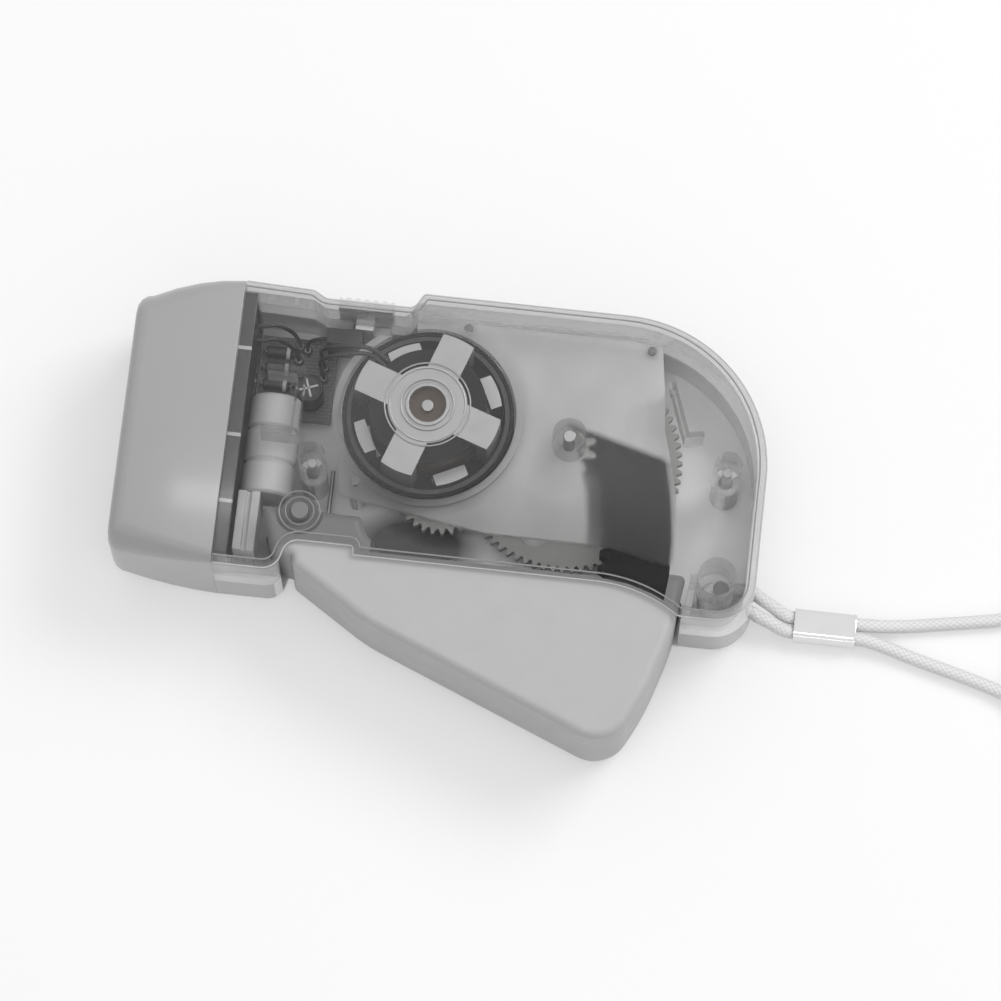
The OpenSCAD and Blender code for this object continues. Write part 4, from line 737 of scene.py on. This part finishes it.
# Part of the cord that goes round its post inside the tail
POST = (50.6867, -23.5278)
BIGHT_R = 2.5
BIGHT_Z = 4.6
BIGHT_REACH = 66
BIGHT_STEPS = 12
BIGHT_LEAD = 0.6
bend = [(POST[0] + x, POST[1] + y, BIGHT_Z)
        for x, y in arc((0, 0), BIGHT_R, 360 - BIGHT_REACH, BIGHT_REACH, BIGHT_STEPS)]


def ahead_of(p, q):
    """Point before p on the line from q."""
    return tuple(a - BIGHT_LEAD * (b - a) for a, b in zip(p, q))


inside = [LOWER[0], ahead_of(LOWER[0], LOWER[1])] + bend + [ahead_of(UPPER[0], UPPER[1]), UPPER[0]]
piece("strap_bight_cord", tube(rounded(inside, 6), CORD_D / 2, CORD_SIDES, BRAID_PITCH), "cord_white",
      replaces=("strap_bight",))


# Ferrule: an oval sleeve round both strands, flared a little at its ends
def ferrule():
    """Closed sleeve, drawn as rows of points round it: outside, rolled end, bore and rolled end."""
    low, high = box_of("strap_ferrule")
    middle = middle_of("strap_ferrule")
    x0, x1 = low.x, high.x
    half, wall, clearance = 1.2, 0.5, 0.06
    flare, flare_l, roll = 0.14, 0.9, 0.16
    steps, sides = 30, 48
    outer = CORD_D / 2 + wall
    bore = CORD_D / 2 + clearance
    stations = [(x0, bore + roll)]
    for i in range(steps + 1):
        x = x0 + (x1 - x0) * i / steps
        near = min(x - x0, x1 - x)
        swell = flare * max(0, 1 - near / flare_l) ** 2
        stations.append((x, outer + swell - (roll if near < 0.01 else 0)))
    stations += [(x1, bore + roll), (x1 - roll, bore), (x0 + roll, bore)]
    verts = []
    for x, r in stations:
        for k in range(sides):
            a = 2 * math.pi * (k + 0.5) / sides
            y = middle.y + math.copysign(half, math.cos(a)) + r * math.cos(a)
            verts.append(Vector((x, y, middle.z + r * math.sin(a))) * MM)
    return verts, wrapped(len(stations), sides)


sleeve = piece("ferrule_sleeve", ferrule(), "ferrule", replaces=("strap_ferrule",))


# Return spring: a smooth helix with its two legs
SPRING_WIRE = 0.7
SPRING_R = 3.7
SPRING_STEP = 1.25
SPRING_Z = 5.7
SPRING_SWEEP = 2120
SPRING_LEG = (4, 9)
SPRING_POST_Y = 9.5
SPRING_TAIL = 2
SPRING_PARTS = 160


def spring_path():
    """Leg behind its post, turns round the pivot, and the leg that leaves them."""
    first = [PIVOT + Vector((SPRING_R, y, SPRING_Z))
             for y in (SPRING_POST_Y + SPRING_TAIL, SPRING_POST_Y, SPRING_LEG[0])]
    turns = []
    for k in range(SPRING_PARTS + 1):
        a = -math.radians(SPRING_SWEEP) * k / SPRING_PARTS
        z = SPRING_Z - SPRING_STEP * a / (2 * math.pi)
        turns.append(PIVOT + Vector((SPRING_R * math.cos(a), SPRING_R * math.sin(a), z)))
    leave = (turns[-1] - turns[-2]).normalized()
    leave.z = 0
    return [MM * p for p in first + turns + [turns[-1] + leave * l for l in SPRING_LEG]]


piece("spring_wire", tube(spring_path(), SPRING_WIRE / 2, 12), "steel", replaces=("return_spring",))


# Leads: the solid's routes, drawn as smooth curves with a bare tip in a dome of solder
LEAD_R = 0.36
COIL_LEAD = (-7.358, 6.397)
SWITCH_LEAD = (-18, 12.096, 11.5)


def coil_lead(k):
    """Route of a lead from the coil over the rotor and down to the board."""
    x, y = COIL_LEAD
    return [(x, y + 1.3 * k, 18.2), (x - 3, y + 2 + k, 18.2), (-14, 8.2 + 1.4 * k, 18),
            (-17, 7.6 + 1.6 * k, 17.2), (-18.6, 7.4 + 1.8 * k, 14.6), (-18.6, 7.3 + 1.8 * k, 10),
            (-18.4, 7.2 + 1.8 * k, BOARD_TOP + 1.5), (-18.4, 7.2 + 1.8 * k, BOARD_TOP)]


def lamp_lead(k):
    """Route of a lead from the lamp's board to the other board."""
    x, y, start = BOARD_CORNER.x, BOARD_FAR.y - 1.6 - 2.4 * k, SEAM_X + 1.8
    return [(start, y - 0.6, 17), (start + 1.4, y - 0.6, 17), (x + 3, y, 16.4), (x + 5.2, y, 13.6),
            (x + 6.2, y, 9), (x + 6.4, y, BOARD_TOP + 1.5), (x + 6.4, y, BOARD_TOP)]


def switch_lead():
    """Route of the lead from the switch to the board."""
    x, y, z = SWITCH_LEAD
    return [(x, y, z), (x - 1, y, z), (x - 2.6, y - 0.2, z - 1), (x - 3.4, y - 0.4, 9),
            (x - 3.6, y - 0.4, BOARD_TOP + 1.5), (x - 3.6, y - 0.4, BOARD_TOP)]


def solder(x, y):
    """Dome that narrows up the lead."""
    r, h = 0.85, 1.1
    return lathe([(r, 0), (r * 0.98, 0.15), (r * 0.8, 0.4), (0.6, 0.7), (0.5, h), (0, h + 0.02)],
                 (x, y, BOARD_TOP), (0, 0, 1), 20)


leads = [coil_lead(0), coil_lead(1), lamp_lead(0), lamp_lead(1), switch_lead()]
piece("leads", joined([tube(rounded(r, 6), LEAD_R, 12) for r in leads]), "wire", replaces=("wires",))
piece("solder_domes", joined([solder(r[-1][0], r[-1][1]) for r in leads]), "steel")


# Coil winding: rows of wire between the bobbin's flanges
def winding():
    low, high = box_of("coil_winding")
    outer, z0, z1 = high.x, low.z, high.z
    inner, rows, bulge = 4.44, 22, 0.1
    pitch = (z1 - z0) / rows
    profile = [(inner, z0)]
    for k in range(rows):
        z = z0 + pitch * k
        profile += [(outer - bulge, z), (outer - bulge * 0.3, z + pitch * 0.2), (outer, z + pitch * 0.5),
                    (outer - bulge * 0.3, z + pitch * 0.8)]
    return lathe(profile + [(outer - bulge, z1), (inner, z1)], ROTOR, (0, 0, 1), 64)


piece("wire_winding", winding(), "copper", replaces=("coil_winding",))


# LEDs: a flanged dome with a little cup and its two legs inside
LED_PITCH = 10
LED_PLACES = [HEAD.y + LED_PITCH * k for k in (-1, 0, 1)]
LED_BASE = SEAM_X - 3
LED_R = 2.5
LED_BODY = 6.1
LED_FLANGE = 0.4
LED_FLANGE_T = 0.5
LED_FLANGE_EDGE = 0.1
LED_LEG_L = 3.4
LED_LEG_IN = 3.7
LED_LEG_R = 0.28
LED_LEG_Y = 1.27


def led_case(y):
    flange = LED_R + LED_FLANGE
    profile = [(0, 0), (flange, 0), (flange, LED_FLANGE_T), (LED_R, LED_FLANGE_T + LED_FLANGE_EDGE),
               (LED_R, LED_BODY)]
    return lathe(profile + arc((0, LED_BODY), LED_R, 0, 90, 10)[1:], (LED_BASE, y, HEAD.z), (-1, 0, 0))


def led_metal(y):
    cup = lathe([(0.5, 3.6), (1.1, 4.6), (1.1, 4.9), (0.8, 4.9), (0.3, 4.2), (0, 4.2)],
                (LED_BASE, y - 0.4, HEAD.z), (-1, 0, 0), 20)
    legs = [tube([MM * Vector((LED_BASE + x, y + side * LED_LEG_Y, HEAD.z))
                  for x in (LED_LEG_L, 0, -LED_LEG_IN)], LED_LEG_R, 8) for side in (-1, 1)]
    return joined([cup] + legs)


piece("led_cases", joined([led_case(y) for y in LED_PLACES]), "led_epoxy", replaces=("leds",))
piece("led_metal", joined([led_metal(y) for y in LED_PLACES]), "steel")


# Board parts: four banded diodes on bent leads, and a capacitor with a rolled and scored top
DIODE_R = 1.0
DIODE_L = 4.4
DIODE_EDGE = 0.2
BAND = (3.3, 3.9)
BAND_PROUD = 0.02
BAND_DEPTH = 0.3
DIODE_PLACES = [BOARD_CORNER + Vector((1, 2.6 + 2.8 * k, DIODE_R)) for k in range(4)]
CAP_AT = Vector((-20.3, 3.7, BOARD_TOP))
CAP_R = 2.4
CAP_H = 7


def diode_case(p):
    r, l, e = DIODE_R, DIODE_L, DIODE_EDGE
    return lathe([(0, 0), (r - e, 0), (r, e), (r, l - e), (r - e, l), (0, l)], p, (1, 0, 0), 20)


def diode_band(p):
    r = DIODE_R + BAND_PROUD
    inner = r - BAND_DEPTH
    return lathe([(inner, BAND[0]), (r, BAND[0]), (r, BAND[1]), (inner, BAND[1])], p, (1, 0, 0), 20)


def diode_legs(p):
    """A bent leg at each end, down to the board."""
    leg_r = 0.2
    bend = ((-0.2, 0), (0.35, 0), (0.55, -0.25), (0.6, BOARD_TOP - p.z))
    legs = []
    for x, way in ((0, -1), (DIODE_L, 1)):
        route = [p + Vector((x + way * out, 0, z)) for out, z in bend]
        legs.append(tube(rounded(route, 4), leg_r, 8))
    return joined(legs)


def capacitor():
    """Can with a groove near its foot and a rolled rim round its sunk top."""
    r, h = CAP_R, CAP_H
    profile = [(0, 0), (r - 0.15, 0), (r, 0.2), (r, 1.0), (r - 0.2, 1.2), (r - 0.2, 1.5), (r, 1.7),
               (r, h - 0.3), (r - 0.12, h - 0.08), (r - 0.35, h), (r - 0.5, h - 0.12), (0, h - 0.12)]
    return lathe(profile, CAP_AT, (0, 0, 1), 40)


def cap_top():
    """Two crossed scores of bare metal on the capacitor's top."""
    foot_z, reach, half, rise, first = CAP_H - 0.11, 1.6, 0.16, 0.1, 20
    arms = []
    for turn in (first, first + 90):
        a = math.radians(turn)
        along = Vector((math.cos(a), math.sin(a), 0))
        across = Vector((-along.y, along.x, 0))
        foot = CAP_AT + Vector((0, 0, foot_z))
        corners = [foot + along * l * reach + across * s * half
                   for l, s in ((-1, -1), (1, -1), (1, 1), (-1, 1))]
        arms.append(([MM * (c + Vector((0, 0, z))) for z in (0, rise) for c in corners], walls(2, 4)))
    return joined(arms)


piece("board_cases", joined([diode_case(p) for p in DIODE_PLACES] + [capacitor()]), "part_dark",
      replaces=("board_parts",))
piece("diode_bands", joined([diode_band(p) for p in DIODE_PLACES]), "knob_pale")
piece("diode_legs", joined([diode_legs(p) for p in DIODE_PLACES]), "steel")
piece("capacitor_score", cap_top(), "steel")


# Painted highlights on the front shell: fine pale beads along the edge of its face, and pale rings round
# the generator's boss and the pivot, stand in for the light that its rounded edges catch.
# The outline is the solid's: each corner's place, its radius and the steps of its arc
FRONT_FOOT_Y = PIVOT.y - 10.3
ARCH_Y = PIVOT.y - 5.1
SLOT_Y = PIVOT.y - 6.6
SLOT_END_X = 37.8032
TAIL_FOOT_Y = SHELL_LOW.y
TAIL_X = SHELL_HIGH.x
TOP_Y = SHELL_HIGH.y
DIP_Y = TOP_Y - 2.5
OUTLINE = [
    (SEAM_X, FRONT_FOOT_Y, 0, 0), (PIVOT.x - 2.6, FRONT_FOOT_Y, 3.2, 6), (PIVOT.x - 1.4, ARCH_Y, 2.5, 6),
    (PIVOT.x + 9.2, ARCH_Y, 0.4, 3), (PIVOT.x + 9.3, SLOT_Y, 0.4, 3), (SLOT_END_X, SLOT_Y, 24, 12),
    (SLOT_END_X + 6.2, TAIL_FOOT_Y, 1.5, 4), (TAIL_X, TAIL_FOOT_Y, 6.5, 10), (TAIL_X, TOP_Y, 25, 24),
    (-2.6, TOP_Y, 1, 4), (-4, DIP_Y, 1.5, 4), (-18.4, DIP_Y, 2, 4), (-20.4, DIP_Y + 1.2, 2, 4),
    (SEAM_X, TOP_Y - 0.9, 0, 0),
]
FACE_Z = SHELL_HIGH.z
FACE_R = 2
BEAD_R = 0.13
BEAD_START = 0.2
BEAD_SIDES = 10
RING_STEPS = 72
RING_SIDES = 8
BOSS_RINGS = ((7.0, 22.05), (6.2, 22.05), (4.3, 22.2))
PIVOT_RINGS = ((3.3, 22.35), (2.3, 22.35))


def outline_path(inset, z):
    """The body's outline drawn in by inset, with its corners rounded."""
    flat = [Vector(c[:2]) for c in OUTLINE]
    path = []
    for i in range(1, len(flat) - 1):
        one = (flat[i] - flat[i - 1]).normalized()
        two = (flat[i + 1] - flat[i]).normalized()
        turn = one.x * two.y - one.y * two.x
        at = flat[i] + (two - one) * inset / turn
        bend = math.atan2(turn, one.dot(two))
        side = math.copysign(1, turn)
        r = max(OUTLINE[i][2] - side * inset, 0.1)
        start = at - one * r * math.tan(abs(bend) / 2)
        centre = start + side * r * Vector((-one.y, one.x))
        first = math.atan2(start.y - centre.y, start.x - centre.x)
        steps = OUTLINE[i][3]
        angles = [first + bend * j / steps for j in range(steps + 1)]
        path += [centre + r * Vector((math.cos(a), math.sin(a))) for a in angles]
    start, end = path[0].y, flat[-1].y - inset
    path = [Vector((SEAM_X + BEAD_START, start))] + path + [Vector((SEAM_X + BEAD_START, end))]
    return [MM * Vector((p.x, p.y, z)) for p in path]


def on_edge(degrees):
    """Bead of painted highlight on the rounded edge of the shell's face, that many degrees up from its
    side.
    """
    a = math.radians(degrees)
    inset = FACE_R * (1 - math.cos(a))
    return tube(outline_path(inset, FACE_Z - FACE_R + FACE_R * math.sin(a)), BEAD_R, BEAD_SIDES)


def torus(centre, r):
    """Ring of the bead's thickness round a vertical axis."""
    verts = []
    for k in range(RING_STEPS):
        a = 2 * math.pi * k / RING_STEPS
        for j in range(RING_SIDES):
            t = 2 * math.pi * j / RING_SIDES
            out = r + BEAD_R * math.cos(t)
            ring = Vector((out * math.cos(a), out * math.sin(a), BEAD_R * math.sin(t)))
            verts.append(MM * (Vector(centre) + ring))
    return verts, wrapped(RING_STEPS, RING_SIDES)


piece("outer_edge_highlight", on_edge(22), "clear_shell", finish="bright_highlight_bead")
piece("inner_edge_highlight", on_edge(68), "clear_shell", finish="soft_highlight_bead")
piece("boss_highlight_rings", joined([torus((ROTOR.x, ROTOR.y, z), r) for r, z in BOSS_RINGS]), "clear_shell",
      finish="bright_highlight_bead")
piece("pivot_highlight_rings", joined([torus((PIVOT.x, PIVOT.y, z), r) for r, z in PIVOT_RINGS]), "clear_shell",
      finish="soft_highlight_bead")


# Floor and light
FLOOR_TONE = 0.83
FLOOR_DRIFT = 0.01
FLOOR_SEEN = 0.935
SEEN_DRIFT = 0.004
FLOOR_SHARE = 0.4
FLOOR_HALF = 2.0
FLOOR_DROP = 0.00005
HORIZON, ZENITH = 0.12, 0.96
HORIZON_TOP, ZENITH_FROM = 0.15, 0.7


def pale_floor():
    """White paper that shows the camera, metal and glass only part of the shadows that fall on it."""
    s = Shader("floor")
    tone = s.noise(6, 2)
    color = s.ramp(tone, (0.3, grey(FLOOR_TONE - FLOOR_DRIFT)), (0.7, grey(FLOOR_TONE)))
    paper = s.principled(base_color=color, roughness=0.9, specular_ior_level=0.1)
    strength = s.span(tone, FLOOR_SEEN - SEEN_DRIFT, FLOOR_SEEN)
    glow = s.add("ShaderNodeEmission", {"Strength": strength}).outputs[0]
    ray = s.add("ShaderNodeLightPath").outputs
    seen = s.math("MAXIMUM", ray["Is Camera Ray"],
                  s.math("MAXIMUM", ray["Is Glossy Ray"], ray["Is Transmission Ray"]))
    return s.done(s.blend(s.math("MULTIPLY", seen, FLOOR_SHARE), paper, glow))


corners = [(-FLOOR_HALF, -FLOOR_HALF, 0), (FLOOR_HALF, -FLOOR_HALF, 0),
           (FLOOR_HALF, FLOOR_HALF, 0), (-FLOOR_HALF, FLOOR_HALF, 0)]
mesh = bpy.data.meshes.new("floor")
mesh.from_pydata(corners, [], [(0, 1, 2, 3)])
mesh.materials.append(pale_floor())
floor = bpy.data.objects.new("floor", mesh)
floor.location.z = -FLOOR_DROP
scene.collection.objects.link(floor)

# A white dome that lights less near the horizon, before a pale backdrop
world = bpy.data.worlds.new("studio")
world.use_nodes = True
tree = world.node_tree
where = tree.nodes.new("ShaderNodeTexCoord")
split = tree.nodes.new("ShaderNodeSeparateXYZ")
rise = tree.nodes.new("ShaderNodeMapRange")
rise.inputs["From Min"].default_value = HORIZON_TOP
rise.inputs["From Max"].default_value = ZENITH_FROM
rise.inputs["To Min"].default_value = HORIZON
rise.inputs["To Max"].default_value = ZENITH
tree.links.new(where.outputs["Generated"], split.inputs["Vector"])
tree.links.new(split.outputs["Z"], rise.inputs["Value"])
ray = tree.nodes.new("ShaderNodeLightPath")
strength = rise.outputs["Result"]
for kind in ("Is Camera Ray", "Is Glossy Ray", "Is Transmission Ray"):
    either = tree.nodes.new("ShaderNodeMath")
    either.operation = "MAXIMUM"
    tree.links.new(ray.outputs[kind], either.inputs[0])
    tree.links.new(strength, either.inputs[1])
    strength = either.outputs["Value"]
tree.links.new(strength, tree.nodes["Background"].inputs["Strength"])
tree.nodes["Background"].inputs["Color"].default_value = (1, 1, 1, 1)
scene.world = world


def softbox(name, place, aim, size, watts):
    """Rectangular lamp at a place, aimed at a point."""
    light = bpy.data.lights.new(name, "AREA")
    light.shape = "RECTANGLE"
    light.size, light.size_y = size
    light.energy = watts
    obj = bpy.data.objects.new(name, light)
    obj.location = place
    obj.rotation_euler = (Vector(aim) - Vector(place)).to_track_quat("-Z", "Y").to_euler()
    scene.collection.objects.link(obj)


softbox("key", place=(0.6, 0.5, 0.85), aim=(0, 0, 0), size=(0.6, 0.5), watts=6.0)
softbox("band", place=(-0.04, -0.215, 1.0), aim=(-0.04, -0.02, 0), size=(0.5, 0.09), watts=1.0)
softbox("rim", place=(0.1, -0.85, 0.6), aim=(0, 0, 0), size=(1.2, 0.02), watts=0.35)
